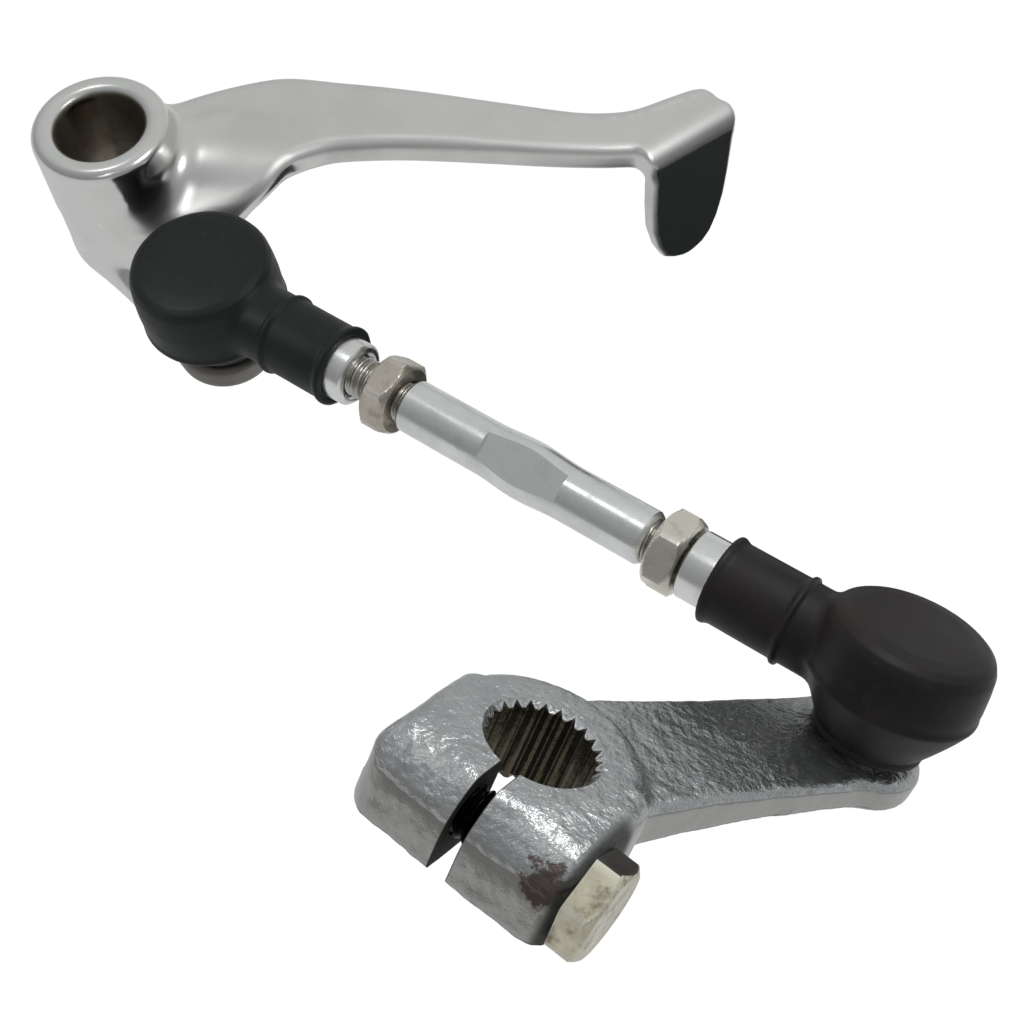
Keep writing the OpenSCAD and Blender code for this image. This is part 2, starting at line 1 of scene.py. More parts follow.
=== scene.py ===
# %% [markdown]
# # Gear shift lever, dressed for the camera
# The object is a chromed pedal, an adjustable tie rod with a rubber-booted ball joint
# at each end, and a cast clamp lever with a splined bore. The CAD solids give every
# place and size. This lesson builds finer skins over them, gives each one a procedural
# finish, and lights them as small chrome parts are lit in a studio.

import json
import math

import bpy
import numpy as np
from mathutils import Matrix, Vector


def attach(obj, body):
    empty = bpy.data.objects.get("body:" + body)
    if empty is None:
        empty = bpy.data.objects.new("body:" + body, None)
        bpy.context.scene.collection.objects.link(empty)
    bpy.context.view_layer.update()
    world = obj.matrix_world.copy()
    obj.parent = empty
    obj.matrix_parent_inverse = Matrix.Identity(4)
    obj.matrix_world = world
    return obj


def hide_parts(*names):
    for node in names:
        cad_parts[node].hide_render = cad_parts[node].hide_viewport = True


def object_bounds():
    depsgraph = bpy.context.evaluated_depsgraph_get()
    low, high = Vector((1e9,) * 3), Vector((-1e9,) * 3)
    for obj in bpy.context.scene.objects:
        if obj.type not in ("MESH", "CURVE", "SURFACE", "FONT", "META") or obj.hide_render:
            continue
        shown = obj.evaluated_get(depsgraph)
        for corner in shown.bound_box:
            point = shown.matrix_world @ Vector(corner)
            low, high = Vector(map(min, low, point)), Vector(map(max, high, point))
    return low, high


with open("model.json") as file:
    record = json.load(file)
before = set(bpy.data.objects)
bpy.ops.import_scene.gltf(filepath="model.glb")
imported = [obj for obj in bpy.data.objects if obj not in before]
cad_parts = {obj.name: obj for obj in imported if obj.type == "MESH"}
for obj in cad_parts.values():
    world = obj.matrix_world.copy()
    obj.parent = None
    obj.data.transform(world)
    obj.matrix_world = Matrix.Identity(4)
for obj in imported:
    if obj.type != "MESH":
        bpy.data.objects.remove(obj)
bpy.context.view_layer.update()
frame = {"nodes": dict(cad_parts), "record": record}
record = frame["record"]
print("CAD nodes:", ", ".join(sorted(frame["nodes"])))

# %% [markdown]
# ## Local frames
# Each ball joint knows its own axes, so the frames for the pieces are taken from the
# packed joints and mounts instead of being typed in again. When the part's source
# moves a joint, the pieces below follow it.

# %% Frames of the rod, the sockets and the clamp lever
MM = 0.001


def axes(origin, x, y, z):
    """A 4x4 frame from an origin in metres and three directions."""
    turn = Matrix((x, y, z)).transposed().to_4x4()
    return Matrix.Translation(origin) @ turn


joints = {j["name"]: j for j in record["behaviour"]["joints"]}
mounts = {m["name"]: m for m in record["mounts"]}
front_ball = Vector(joints["front_swing"]["pos_m"])
rear_ball = Vector(joints["rear_swing"]["pos_m"])
rod_way = (rear_ball - front_ball).normalized()

front_y = Vector(joints["front_tilt"]["axis"]).normalized()
LINK = axes(front_ball, rod_way, front_y, rod_way.cross(front_y))
rear_y = Vector(joints["rear_tilt"]["axis"]).normalized()
REAR = axes(rear_ball, -rod_way, -rear_y, rod_way.cross(rear_y))

clamp = mounts["shift_shaft"]
boss_up = -Vector(clamp["axis"]).normalized()
boss_height = clamp["dims"]["length_mm"]
boss_top = Vector(clamp["pos_m"]) + boss_up * boss_height * MM / 2
along = boss_top - rear_ball
along = (along - boss_up * along.dot(boss_up)).normalized()
ear_turn = math.radians(28)
ear_way = Matrix.Rotation(ear_turn, 3, boss_up) @ along
BOSS = axes(boss_top, ear_way, boss_up.cross(ear_way), boss_up)
ball_in_boss = BOSS.inverted() @ rear_ball / MM
ball_span = (rear_ball - front_ball).length / MM
front_ball_mm = front_ball / MM
print("ball to ball:", round(ball_span, 2), "mm")
print("rear ball seen from the boss:", [round(v, 2) for v in ball_in_boss])

# %% [markdown]
# ## Shapes as distance fields
# A forging or a casting has no sharp joins: the arm swells into the tube through soft
# fillets. Bevels on a boolean mesh can't follow that. Instead each form is written as
# a signed distance, positive outside and negative inside, and forms melt together with
# a smooth minimum, whose radius is the fillet. All fields are in millimetres.

# %% Field helpers: joining, rounding, outlines
def melt(a, b, r):
    """Union of two fields with a fillet of about r."""
    h = np.clip(0.5 + 0.5 * (b - a) / r, 0, 1)
    return b * (1 - h) + a * h - r * h * (1 - h)


def carve(a, b, r):
    """Field a with field b taken away, and the edge between them rounded by r."""
    return -melt(-a, b, r)


def meet(a, b, r):
    """Where both fields are solid, with the edge between them rounded by r."""
    return -melt(-a, -b, r)


def slab(side, height, r):
    """An outline's distance and a height's distance make a plate with round edges."""
    a, b = side + r, height + r
    return np.minimum(np.maximum(a, b), 0) + np.hypot(np.maximum(a, 0), np.maximum(b, 0)) - r


def outline(px, py, points):
    """Signed distance to a closed outline."""
    points = np.asarray(points, float)
    near = np.full(np.broadcast(px, py).shape, 1e9)
    inside = np.zeros(near.shape, bool)
    for (x0, y0), (x1, y1) in zip(points, np.roll(points, -1, 0)):
        ex, ey = x1 - x0, y1 - y0
        if not (ex or ey):
            continue
        t = np.clip(((px - x0) * ex + (py - y0) * ey) / (ex * ex + ey * ey), 0, 1)
        near = np.minimum(near, (px - x0 - t * ex) ** 2 + (py - y0 - t * ey) ** 2)
        if ey:
            inside ^= ((y0 > py) != (y1 > py)) & (px < ex * (py - y0) / ey + x0)
    near = np.sqrt(near)
    return np.where(inside, -near, near)


def disc(px, py, cx, cy, r):
    """Signed distance to a circle."""
    return np.hypot(px - cx, py - cy) - r


def curve(points, count=8, closed=True):
    """A smooth line through a few points, by Catmull and Rom's rule."""
    points = np.asarray(points, float)
    n = len(points)
    out = []
    for i in range(n if closed else n - 1):
        if closed:
            p = [points[(i + k) % n] for k in (-1, 0, 1, 2)]
        else:
            p = [points[min(max(i + k, 0), n - 1)] for k in (-1, 0, 1, 2)]
        for t in np.arange(count) / count:
            out.append(0.5 * (
                2 * p[1] + (p[2] - p[0]) * t
                + (2 * p[0] - 5 * p[1] + 4 * p[2] - p[3]) * t ** 2
                + (3 * p[1] - p[0] - 3 * p[2] + p[3]) * t ** 3
            ))
    if not closed:
        out.append(points[-1])
    return np.array(out)


# %% [markdown]
# ## From a field to a mesh
# The field is sampled on a grid. Every grid cell that the surface crosses gets one
# vertex, and every grid edge that it crosses gets one four-sided face, so the mesh is
# closed and even. Chrome shows the smallest ripple, so each vertex is then slid onto
# the surface and takes its normal from the field itself.

# %% Surface net
def grid(low, high, step):
    """Three open axes of a grid, in millimetres."""
    lines = [np.arange(a, b + step, step) for a, b in zip(low, high)]
    x, y, z = np.meshgrid(*lines, indexing="ij", sparse=True)
    return x, y, z


def sample(values, low, step, points):
    """Reads a field between its grid points."""
    at = (points - low) / step
    base = np.clip(np.floor(at).astype(int), 0, np.array(values.shape) - 2)
    t = at - base
    total = 0
    for corner in range(8):
        o = [(corner >> k) & 1 for k in range(3)]
        weight = np.prod([t[:, k] if o[k] else 1 - t[:, k] for k in range(3)], axis=0)
        total = total + weight * values[base[:, 0] + o[0], base[:, 1] + o[1], base[:, 2] + o[2]]
    return total


def net(values, low, step):
    """Vertices, faces and normals of the surface where a field is zero."""
    values = np.ascontiguousarray(values, float)
    low = np.asarray(low, float)
    inside = values < 0
    cells = np.zeros(np.array(values.shape) - 1, int)
    total = np.zeros(cells.shape + (3,))
    count = np.zeros(cells.shape)
    crossings = []
    for axis in range(3):
        cut = [slice(None)] * 3
        nxt = [slice(None)] * 3
        cut[axis], nxt[axis] = slice(0, -1), slice(1, None)
        a, b = values[tuple(cut)], values[tuple(nxt)]
        at = np.argwhere((a < 0) != (b < 0))
        va, vb = a[tuple(at.T)], b[tuple(at.T)]
        spot = at.astype(float)
        spot[:, axis] += va / (va - vb)
        crossings.append((at, va < 0))
        others = [k for k in range(3) if k != axis]
        for i in (0, -1):
            for j in (0, -1):
                cell = at.copy()
                cell[:, others[0]] += i
                cell[:, others[1]] += j
                ok = np.all((cell >= 0) & (cell < cells.shape), axis=1)
                key = tuple(cell[ok].T)
                np.add.at(total, key, spot[ok])
                np.add.at(count, key, 1)
    used = count > 0
    cells[used] = np.arange(used.sum())
    verts = total[used] / count[used][:, None] * step + low
    faces = []
    for axis, (at, rising) in enumerate(crossings):
        others = [(axis + 1) % 3, (axis + 2) % 3]
        ring = []
        for i, j in ((0, 0), (-1, 0), (-1, -1), (0, -1)):
            cell = at.copy()
            cell[:, others[0]] += i
            cell[:, others[1]] += j
            ring.append(cells[tuple(cell.T)])
        quad = np.stack(ring, 1)
        quad[~rising] = quad[~rising][:, ::-1]
        faces.append(quad)
    faces = np.concatenate(faces)
    slope = np.gradient(values, step)
    for _ in range(2):
        normal = np.stack([sample(g, low, step, verts) for g in slope], 1)
        steep = np.linalg.norm(normal, axis=1, keepdims=True) + 1e-9
        normal /= steep
        verts = verts - normal * sample(values, low, step, verts)[:, None] / np.maximum(steep, 0.5)
    return verts, faces, normal


# %% [markdown]
# ## Putting a mesh into the scene
# Every piece keeps its object at the origin, with its place in the vertices, so that it
# can ride on a body of the frame. A small table of materials is filled further down.

# %% Mesh maker
made = {}


def piece(name, verts, faces, body, node=None, place=None, normals=None, flat=False):
    """Makes one mesh in metres from millimetres, and hangs it on a body."""
    place = place or Matrix.Identity(4)
    turn = np.array(place.to_3x3())
    shift = np.array(place.translation)
    mesh = bpy.data.meshes.new(name)
    points = np.asarray(verts, float) * MM @ turn.T + shift
    mesh.from_pydata(points.tolist(), [], [list(map(int, f)) for f in faces])
    mesh.update()
    mesh.validate()
    if not flat:
        mesh.polygons.foreach_set("use_smooth", [True] * len(mesh.polygons))
    if normals is not None and len(normals) == len(mesh.vertices):
        mesh.normals_split_custom_set_from_vertices((np.asarray(normals) @ turn.T).tolist())
    obj = bpy.data.objects.new(name, mesh)
    bpy.context.collection.objects.link(obj)
    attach(obj, body)
    if node:
        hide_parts(node)
    made[name] = obj
    print(f"{name}: {len(mesh.polygons)} faces")
    return obj



def sharpen(obj, angle=32):
    """Keeps edges steeper than an angle crisp, and shades the rest smooth."""
    mesh = obj.data
    normals = np.zeros(len(mesh.polygons) * 3)
    mesh.polygons.foreach_get("normal", normals)
    normals = normals.reshape(-1, 3)
    owner = {}
    for polygon in mesh.polygons:
        for key in polygon.edge_keys:
            owner.setdefault(key, []).append(polygon.index)
    limit = math.cos(math.radians(angle))
    for edge in mesh.edges:
        both = owner.get(edge.key, [])
        if len(both) == 2 and normals[both[0]] @ normals[both[1]] < limit:
            edge.use_edge_sharp = True

# %% [markdown]
# ## The pedal
# The real pedal is one steel forging: a pivot tube, a flat arm whose plan was drawn with
# a swell near the tube, and a toe tab folded down at the far end. A short arm leaves the
# tube's low end and carries the front ball. Its outlines below are in millimetres.

# %% Pedal outlines
half_hub = 12.5
hub_radius = 10.0
bore_radius = mounts["pivot_bore"]["dims"]["r_mm"]
arm_top, arm_low = 7.1, 2.1
short_top = -7.9
tab_origin = (80.5, -3.0)
tab_turn = math.radians(37)

arm_far = [
    (2, 6.0), (7.4, 9.3), (10.3, 11.0), (15.2, 13.0), (20.1, 14.5), (24.2, 15.3), (28, 15.2),
    (33.5, 14.4), (39.7, 13.6), (47.4, 12.35), (54.5, 10.95), (61, 9.7), (69.2, 8.2),
    (74.6, 8.05), (78.5, 8.8), (83.4, 11.1), (87.2, 12.7), (89.5, 12.5), (91.4, 10.1), (92.0, 6.6),
]
arm_near = [
    (80.6, -1.6), (78.5, -0.35), (73.1, -0.4), (65.6, -0.15), (55.2, 0.6), (46.1, 1.15),
    (40.1, 1.2), (33.9, 0.8), (30.4, -0.2), (27.5, -1.6), (25.1, -3.4), (23.3, -5.2),
    (21.7, -6.8), (19.5, -8.6), (16, -9.6), (8, -9.4), (2, -6.0),
]
tab_face = [
    (1.15, 3.0), (1.15, 0), (1.1, -6.3), (1.3, -10.9), (1.8, -16), (3.2, -20.9), (4.8, -24.2),
    (6.6, -25.6), (8.5, -26.5), (9.9, -26.7), (11.3, -26.4), (12.9, -25.6), (14.4, -23.8),
    (15.5, -20.6), (16.3, -16), (16.6, -10.9), (16.7, -6.3), (16.8, 0), (16.6, 3.0),
]
print("pedal outline points:", len(arm_far) + len(arm_near), "tab:", len(tab_face))

# %% Pedal field
pedal_low, pedal_step = (-11.5, -31, -23.0), 0.4
x, y, z = grid(pedal_low, (95.5, 16.5, 13.6), pedal_step)
radius = np.hypot(x, y)


def plate(shape, low, top, r):
    """An outline raised between two heights."""
    return slab(shape, np.abs(z - (low + top) / 2) - (top - low) / 2, r)


tube = np.where(z > 0, slab(radius - hub_radius - 0.15, np.abs(z) - half_hub - 0.2, 1.5),
                slab(radius - hub_radius, np.abs(z) - half_hub, 2.6))
arm_plan = outline(x, y, list(curve(arm_far, 4, False)) + list(curve(arm_near, 4, False)))
arm = plate(arm_plan, arm_low, arm_top, 1.9)

ball_x, ball_y = front_ball_mm.x, front_ball_mm.y
reach = math.hypot(ball_x, ball_y)
away = np.clip((x * ball_x + y * ball_y) / reach ** 2, 0, 1)
short_plan = np.hypot(x - away * ball_x, y - away * ball_y) - (8.0 - 0.5 * away)
short = plate(short_plan, -half_hub, short_top, 1.5)

rise = np.clip((z + half_hub) / (arm_low + half_hub + 2), 0, 1) ** 1.3
web_x0, web_y0 = 5 + 3 * rise, -7 + 3 * rise
web_x1, web_y1 = 6 + 11.5 * rise, -8 + 7.5 * rise
web_dx, web_dy = web_x1 - web_x0, web_y1 - web_y0
part_way = np.clip(
    ((x - web_x0) * web_dx + (y - web_y0) * web_dy) / (web_dx ** 2 + web_dy ** 2), 0, 1)
web_plan = np.hypot(x - web_x0 - part_way * web_dx, y - web_y0 - part_way * web_dy) \
    - (5.6 + 1.8 * rise + 0.9 * rise * part_way)
web = plate(web_plan * 0.92, -half_hub, arm_top, 1.5)

cos_t, sin_t = math.cos(tab_turn), math.sin(tab_turn)
fold_s = (x - tab_origin[0]) * cos_t + (y - tab_origin[1]) * sin_t
fold_d = -(x - tab_origin[0]) * sin_t + (y - tab_origin[1]) * cos_t
fold_z = z - 5.4
tab = slab(outline(fold_s, fold_z, tab_face), np.abs(fold_d - 1.7) - 1.7, 1.5)
behind_face = slab(-fold_d, z - arm_top, 3.4)

plate_end = meet(melt(arm, tab, 2.2), behind_face, 0.4)
arm = np.where(x > 55, plate_end, arm)
shoulder = ((x - 12) * -0.08 - (y + 2.5) * 0.62 + (z - arm_top) * 0.78)
root = meet(melt(arm, web, 2.0), shoulder, 3.0)
pedal = melt(melt(tube, root, 4.5), short, 3.2)
hole = meet(radius - bore_radius, np.abs(z) - half_hub - 3, 0.1)
mouth = radius - bore_radius - 0.6 + (half_hub - np.abs(z))
pedal = carve(carve(pedal, hole, 0.25), mouth * 0.7, 0.6)
verts, faces, normals = net(pedal, pedal_low, pedal_step)
pedal_forging = piece(
    "pedal_forging", verts, faces, "pedal", "pedal_lever", normals=normals)

# %% [markdown]
# ## The clamp lever
# The rear lever is a rough casting under chrome. Its boss holds the splined bore, two
# ears carry the pinch bolt over a sawn slit, and a flat arm ends in a round pad under
# the rear ball. It is built in the boss's own frame, with the ears along X.

# %% Clamp lever outlines
ear_end, ear_left, ear_right = 14.0, 12.7, 12.6
slit_half = 1.15
spline_crest, spline_root = 5.9, 6.55
bolt_u, bolt_z = 9.4, -5.0
arm_upper = ball_in_boss.z * 0 - 4.3
pad_radius = 8.4

quarter = np.radians(np.arange(0, 91, 10))
ear_side = [(-3, -boss_height), (ear_end - 0.4, -boss_height), (ear_end, -boss_height + 0.5)] \
    + [(ear_end - 6 + 6 * math.cos(a), -6.6 + 6.6 * math.sin(a)) for a in quarter] + [(-3, 0)]
ear_across = [(-ear_left, -boss_height), (ear_right, -boss_height)] \
    + [(ear_right - 2.6 + 2.6 * math.cos(a), -2.6 + 2.6 * math.sin(a)) for a in quarter] \
    + [(-ear_left + 2.6 - 2.6 * math.sin(a), -6.5 + 6.5 * math.cos(a)) for a in quarter]
ear_plan = [(-3, -ear_left)] \
    + [(ear_end - 4.2 + 4.2 * math.sin(a), -ear_left + 4.2 - 4.2 * math.cos(a)) for a in quarter] \
    + [(ear_end - 3 + 3 * math.cos(a), ear_right - 3 + 3 * math.sin(a)) for a in quarter] \
    + [(-3, ear_right)]
stations = np.array([
    (-2, 8.26, 7.04, 0), (5.8, 8.72, 7.19, 0), (12, 9.03, 7.04, 0.12), (18.2, 9.26, 6.73, 0.3),
    (24, 9.64, 6.66, 0.52), (28.8, 10.17, 6.73, 0.75), (33.6, 10.71, 6.9, 0.95),
    (38.4, 10.86, 7.04, 1), (52, 11.5, 7.6, 1),
])
print("lever stations:", len(stations))


# %% Clamp lever field
def rough(px, py, pz, size, seed):
    """Smooth random waves for cast skin: a few crossing sines with random phases."""
    luck = np.random.default_rng(seed)
    out = 0
    for _ in range(9):
        way = luck.normal(size=3)
        way *= 2 * math.pi / size * luck.uniform(0.7, 1.5) / np.linalg.norm(way)
        out = out + np.sin(px * way[0] + py * way[1] + pz * way[2] + luck.uniform(0, 6.28))
    return out / 9


clamp_low, clamp_step = (-52.5, -14.4, -11.4), 0.26
u, n, z = grid(clamp_low, (15.4, 32.6, 1.2), clamp_step)
from_ball_u, from_ball_n = u - ball_in_boss.x, n - ball_in_boss.y
arm_u = from_ball_u * math.cos(ear_turn) - from_ball_n * math.sin(ear_turn)
arm_n = from_ball_u * math.sin(ear_turn) + from_ball_n * math.cos(ear_turn)
far = np.interp(arm_u, stations[:, 0], stations[:, 1])
near = np.interp(arm_u, stations[:, 0], stations[:, 2])
deep = 4.1 + 1.5 * np.interp(arm_u, stations[:, 0], stations[:, 3])
across = np.maximum(-arm_n - far, arm_n - near)
plan = np.maximum(across, np.maximum(-arm_u - 2, arm_u - 50))
crown = 0.35 * np.clip(-arm_n / 8, 0, 1) ** 2
top_skin = z - (arm_upper - crown)
arm_height = np.maximum(top_skin, arm_upper - deep - z)
arm = slab(plan, arm_height, 1.25)
pad = slab(np.hypot(arm_u, arm_n) - pad_radius,
           np.maximum(top_skin, arm_upper - 4.1 - z), 1.1)

bore_r = np.hypot(u, n)
boss = slab(bore_r - 11.8, np.maximum(z + 2.2, -boss_height - z), 0.6)
dome = slab(bore_r - 11.8, np.abs(z + boss_height / 2) - boss_height / 2, 2.7)
boss = melt(boss, dome, 0.2)
ears = meet(meet(outline(u, z, ear_side), outline(n, z, ear_across), 0.9),
            outline(u, n, ear_plan), 0.7)
lever = melt(melt(boss, ears, 1.2), melt(arm, pad, 0.8), 2.6)
skin = 0.05 * rough(u, n, z, 1.5, 3) + 0.08 * rough(u, n, z, 3.2, 4) + 0.12 * rough(u, n, z, 8.0, 5)
lever = lever + skin - 0.12
lever = meet(lever, np.maximum(z - 0.02, -boss_height - z), 0.3)

bolt_way = np.hypot(u - bolt_u, z - bolt_z)
lever = carve(lever, bolt_way - 3.04 + 0 * n, 0.2)
verts, faces, normals = net(lever, clamp_low, clamp_step)
clamp_casting = piece("clamp_casting", verts, faces, "clamp", "clamp_lever",
                      BOSS)

# %% [markdown]
# ## The splined bore and the slit
# The fine V grooves were broached and the slit was sawn after casting, so their edges
# are crisp where they break through the rough skin. The soft field can't hold such
# edges. One prism with the outline of grooves and slit is cut out of the mesh.

# %% Broach and saw
teeth, groove_share = 24, 0.72


def bore_outline():
    """Plan of the toothed bore with the slit running out along +X."""
    pitch = 2 * math.pi / teeth
    line = []
    for k in range(teeth):
        for part, r in ((-groove_share / 2, spline_crest), (0, spline_root),
                        (groove_share / 2, spline_crest)):
            angle = (k + part) * pitch
            line.append((r * math.cos(angle), r * math.sin(angle)))
    keep = [q for q in line if not (q[0] > 0 and abs(q[1]) < slit_half + 0.05)]
    keep.sort(key=lambda q: math.atan2(q[1], q[0]) % (2 * math.pi))
    meet_x = math.sqrt(spline_crest ** 2 - slit_half ** 2)
    return [(ear_end + 3, slit_half), (meet_x, slit_half)] + keep \
        + [(meet_x, -slit_half), (ear_end + 3, -slit_half)]


def prism(line, low, high):
    """A closed prism over an outline."""
    count = len(line)
    verts = [(px, py, level) for level in (low, high) for px, py in line]
    faces = [tuple(reversed(range(count))), tuple(range(count, 2 * count))]
    for k in range(count):
        j = (k + 1) % count
        faces.append((k, j, count + j, count + k))
    return verts, faces


def cut(obj, verts, faces, place):
    """Takes a closed mesh out of an object and keeps steep edges crisp."""
    mesh = bpy.data.meshes.new("cutter")
    mesh.from_pydata([tuple(place @ (Vector(v) * MM)) for v in verts], [], faces)
    tool = bpy.data.objects.new("cutter", mesh)
    bpy.context.collection.objects.link(tool)
    step = obj.modifiers.new("cut", "BOOLEAN")
    step.operation, step.solver, step.object = "DIFFERENCE", "MANIFOLD", tool
    result = bpy.data.meshes.new_from_object(obj.evaluated_get(bpy.context.evaluated_depsgraph_get()))
    obj.modifiers.clear()
    result.materials.clear()
    before = len(obj.data.polygons)
    obj.data = result
    bpy.data.objects.remove(tool)
    print(f"{obj.name}: {before} faces before the cut, {len(result.polygons)} after")


line = bore_outline()
verts, faces = prism(line, -boss_height - 2, 2)
cut(clamp_casting, verts, faces, BOSS)
ring = [(math.cos(2 * math.pi * k / 96), math.sin(2 * math.pi * k / 96)) for k in range(96)]
verts = [(7.55 * a, 7.55 * b, 0.9) for a, b in ring] + [(5.6 * a, 5.6 * b, -1.05) for a, b in ring]
faces = [tuple(range(96)), tuple(reversed(range(96, 192)))] \
    + [(k, 96 + k, 96 + (k + 1) % 96, (k + 1) % 96) for k in range(96)]
cut(clamp_casting, verts, faces, BOSS)
sharpen(clamp_casting, 38)

# %% [markdown]
# ## The rubber boots
# Each boot is one moulding: a low drum with a soft flat top, a skirt that closes under
# the ball, and a sleeve over the socket's shank with a rib and an end lip. The drum and
# the sleeve melt into each other with a small fillet, as rubber flows in its mould.

# %% Boot field
def boot_field(lip_reach, ridge, low, high, step):
    """Field of a boot whose ball is at the origin and whose sleeve runs along +X."""
    x, y, z = grid(low, high, step)
    from_head = np.hypot(x, y)
    from_sleeve = np.hypot(y, z)
    r, lip = 10.6, 7.0
    skirt = [(r + (lip - r) * (k / 8) ** 1.15, -ridge - 0.3 + (ridge - 7.2) * k / 8)
             for k in range(8, 0, -1)]
    drum = [(0, -8.8), (lip - 0.2, -8.8), (lip, -8.5), (lip, -7.9), (lip - 0.25, -7.7)] + skirt + [
        (r + 0.15, -ridge - 0.1), (r + 0.15, -ridge + 0.2), (r - 0.05, -ridge + 0.5), (r, 0.9),
        (r - 0.15, 3.2), (r - 0.4, 5.2), (r - 0.9, 6.3), (r - 1.8, 6.9), (r - 3.6, 7.2), (0, 7.3),
    ]
    mirrored = [(-a, b) for a, b in reversed(drum)]
    head = outline(from_head, z, drum + mirrored)
    ring_at = lip_reach - 10.6
    sleeve_line = [
        (0, 0), (0, 5.5), (ring_at - 0.45, 5.5), (ring_at - 0.3, 6.0), (ring_at + 0.3, 6.0),
        (ring_at + 0.45, 5.55), (lip_reach - 1.3, 5.55), (lip_reach - 0.6, 5.9),
        (lip_reach - 0.15, 5.95), (lip_reach, 5.8), (lip_reach, 0),
    ]
    mirrored = [(a, -b) for a, b in reversed(sleeve_line)]
    sleeve = outline(x, from_sleeve, sleeve_line + mirrored)
    skin = melt(head, sleeve, 1.0)
    room = slab(from_head - 8.3, np.maximum(z - 5.6, -z - 5.4), 2.4)
    throat = np.maximum(from_head - 5.5 - np.clip(z + 8.8, 0, 4) * 0.25, np.abs(z + 7.3) - 2.2)
    shank = np.maximum(from_sleeve - 4.62, -x)
    return carve(carve(carve(skin, room, 0.2), throat, 0.2), shank, 0.1)


boot_step = 0.3
for name, lip_reach, ridge, place, node in (
    ("front_boot_rubber", 25.3, 3.3, LINK, "front_boot"),
    ("rear_boot_rubber", 24.0, 0.8, REAR, "rear_boot"),
):
    low = (-11.4, -11.4, -9.8)
    field = boot_field(lip_reach, ridge, low, (lip_reach + 1, 11.4, 8.3), boot_step)
    verts, faces, normals = net(field, low, boot_step)
    piece(name, verts, faces, "link", node, place, normals)

# %% [markdown]
# ## Turned pieces
# Sockets, rod, nuts and bolt come off a lathe, so a profile turned about the X axis
# makes them. Edges get short chamfers, because a real edge always catches a line of
# light.

# %% Lathe, hexagon and thread helpers
def lathe(profile, segments=96, at=0.0):
    """Turns (x, r) points about X. A point on the axis closes the end."""
    verts, faces, rings = [], [], []
    for px, r in profile:
        if r < 1e-6:
            rings.append([len(verts)])
            verts.append((at + px, 0, 0))
            continue
        rings.append(list(range(len(verts), len(verts) + segments)))
        for k in range(segments):
            a = 2 * math.pi * k / segments
            verts.append((at + px, r * math.cos(a), r * math.sin(a)))
    for a, b in zip(rings, rings[1:]):
        for k in range(segments):
            j = (k + 1) % segments
            quad = [a[k % len(a)], b[k % len(b)], b[j % len(b)], a[j % len(a)]]
            clean = [v for i, v in enumerate(quad) if v not in quad[:i]]
            if len(clean) > 2:
                faces.append(clean[::-1])
    return verts, faces


def hex_ring(size, segments_per_side=8):
    """Radii of a hexagon with softly rounded corners, all the way round."""
    out = []
    for k in range(6 * segments_per_side):
        a = 2 * math.pi * k / (6 * segments_per_side)
        side = (a + math.pi / 6) % (math.pi / 3) - math.pi / 6
        out.append((a, size / 2 / math.cos(side)))
    return out


def hex_body(size, length, chamfer, both, hole=None, segments_per_side=12):
    """A hexagon along X with chamfered faces: each ring is the smaller of the hexagon and a cone."""
    corner = size / 2 / math.cos(math.pi / 6)
    soft = corner * 0.985
    steps = [0, 0.12, 0.3, 0.5, 0.75, 1.0]
    rows = [(s * chamfer, corner - (1 - s) * chamfer * 1.25) for s in steps]
    back = [(length - s * chamfer, corner - (1 - s) * chamfer * 1.25) for s in reversed(steps)]
    if not both:
        rows = [(0, corner), (0.05, corner)]
    rows = rows + back
    ring = hex_ring(size, segments_per_side)
    verts, faces = [], []
    count = len(ring)
    for px, limit in rows:
        for a, r in ring:
            r = min(r, limit, soft)
            verts.append((px, r * math.cos(a), r * math.sin(a)))
    for i in range(len(rows) - 1):
        for k in range(count):
            j = (k + 1) % count
            faces.append((i * count + k, (i + 1) * count + k, (i + 1) * count + j, i * count + j))
    for row, px in ((0, 0.0), (len(rows) - 1, length)):
        start = len(verts)
        if hole:
            for a, _ in ring:
                verts.append((px, hole * math.cos(a), hole * math.sin(a)))
            for k in range(count):
                j = (k + 1) % count
                quad = (row * count + k, row * count + j, start + j, start + k)
                faces.append(quad if row == 0 else quad[::-1])
        else:
            verts.append((px, 0, 0))
            for k in range(count):
                j = (k + 1) % count
                tri = (row * count + k, row * count + j, start)
                faces.append(tri if row == 0 else tri[::-1])
    return verts, [face[::-1] for face in faces]


def thread(start, end, major=3.0, pitch=1.0, segments=48):
    """A screw thread as a skin whose radius climbs and falls along a helix."""
    depth = 0.5 * pitch
    rows = int((end - start) / pitch * 10)
    verts, faces = [], []
    for i in range(rows + 1):
        px = start + (end - start) * i / rows
        fade = min(1.0, (px - start) / 0.6, (end - px) / 0.6)
        for k in range(segments):
            phase = (px / pitch - k / segments) % 1.0
            wave = min(1.0, max(0.0, 1.25 * (1 - abs(2 * phase - 1)) - 0.1))
            r = major - depth * (1 - wave * fade)
            a = 2 * math.pi * k / segments
            verts.append((px, r * math.cos(a), r * math.sin(a)))
    for i in range(rows):
        for k in range(segments):
            j = (k + 1) % segments
            a, b = i * segments, (i + 1) * segments
            faces.append((a + k, b + k, b + j, a + j))
    faces.append(tuple(range(segments)))
    faces.append(tuple(rows * segments + k for k in reversed(range(segments))))
    return verts, [face[::-1] for face in faces]

# %% [markdown]
# ## Sockets
# A socket is a short drum round the ball with a shank that takes the rod's thread. Only
# the shank's end shows past the boot: a turned land with a small groove and a chamfer.

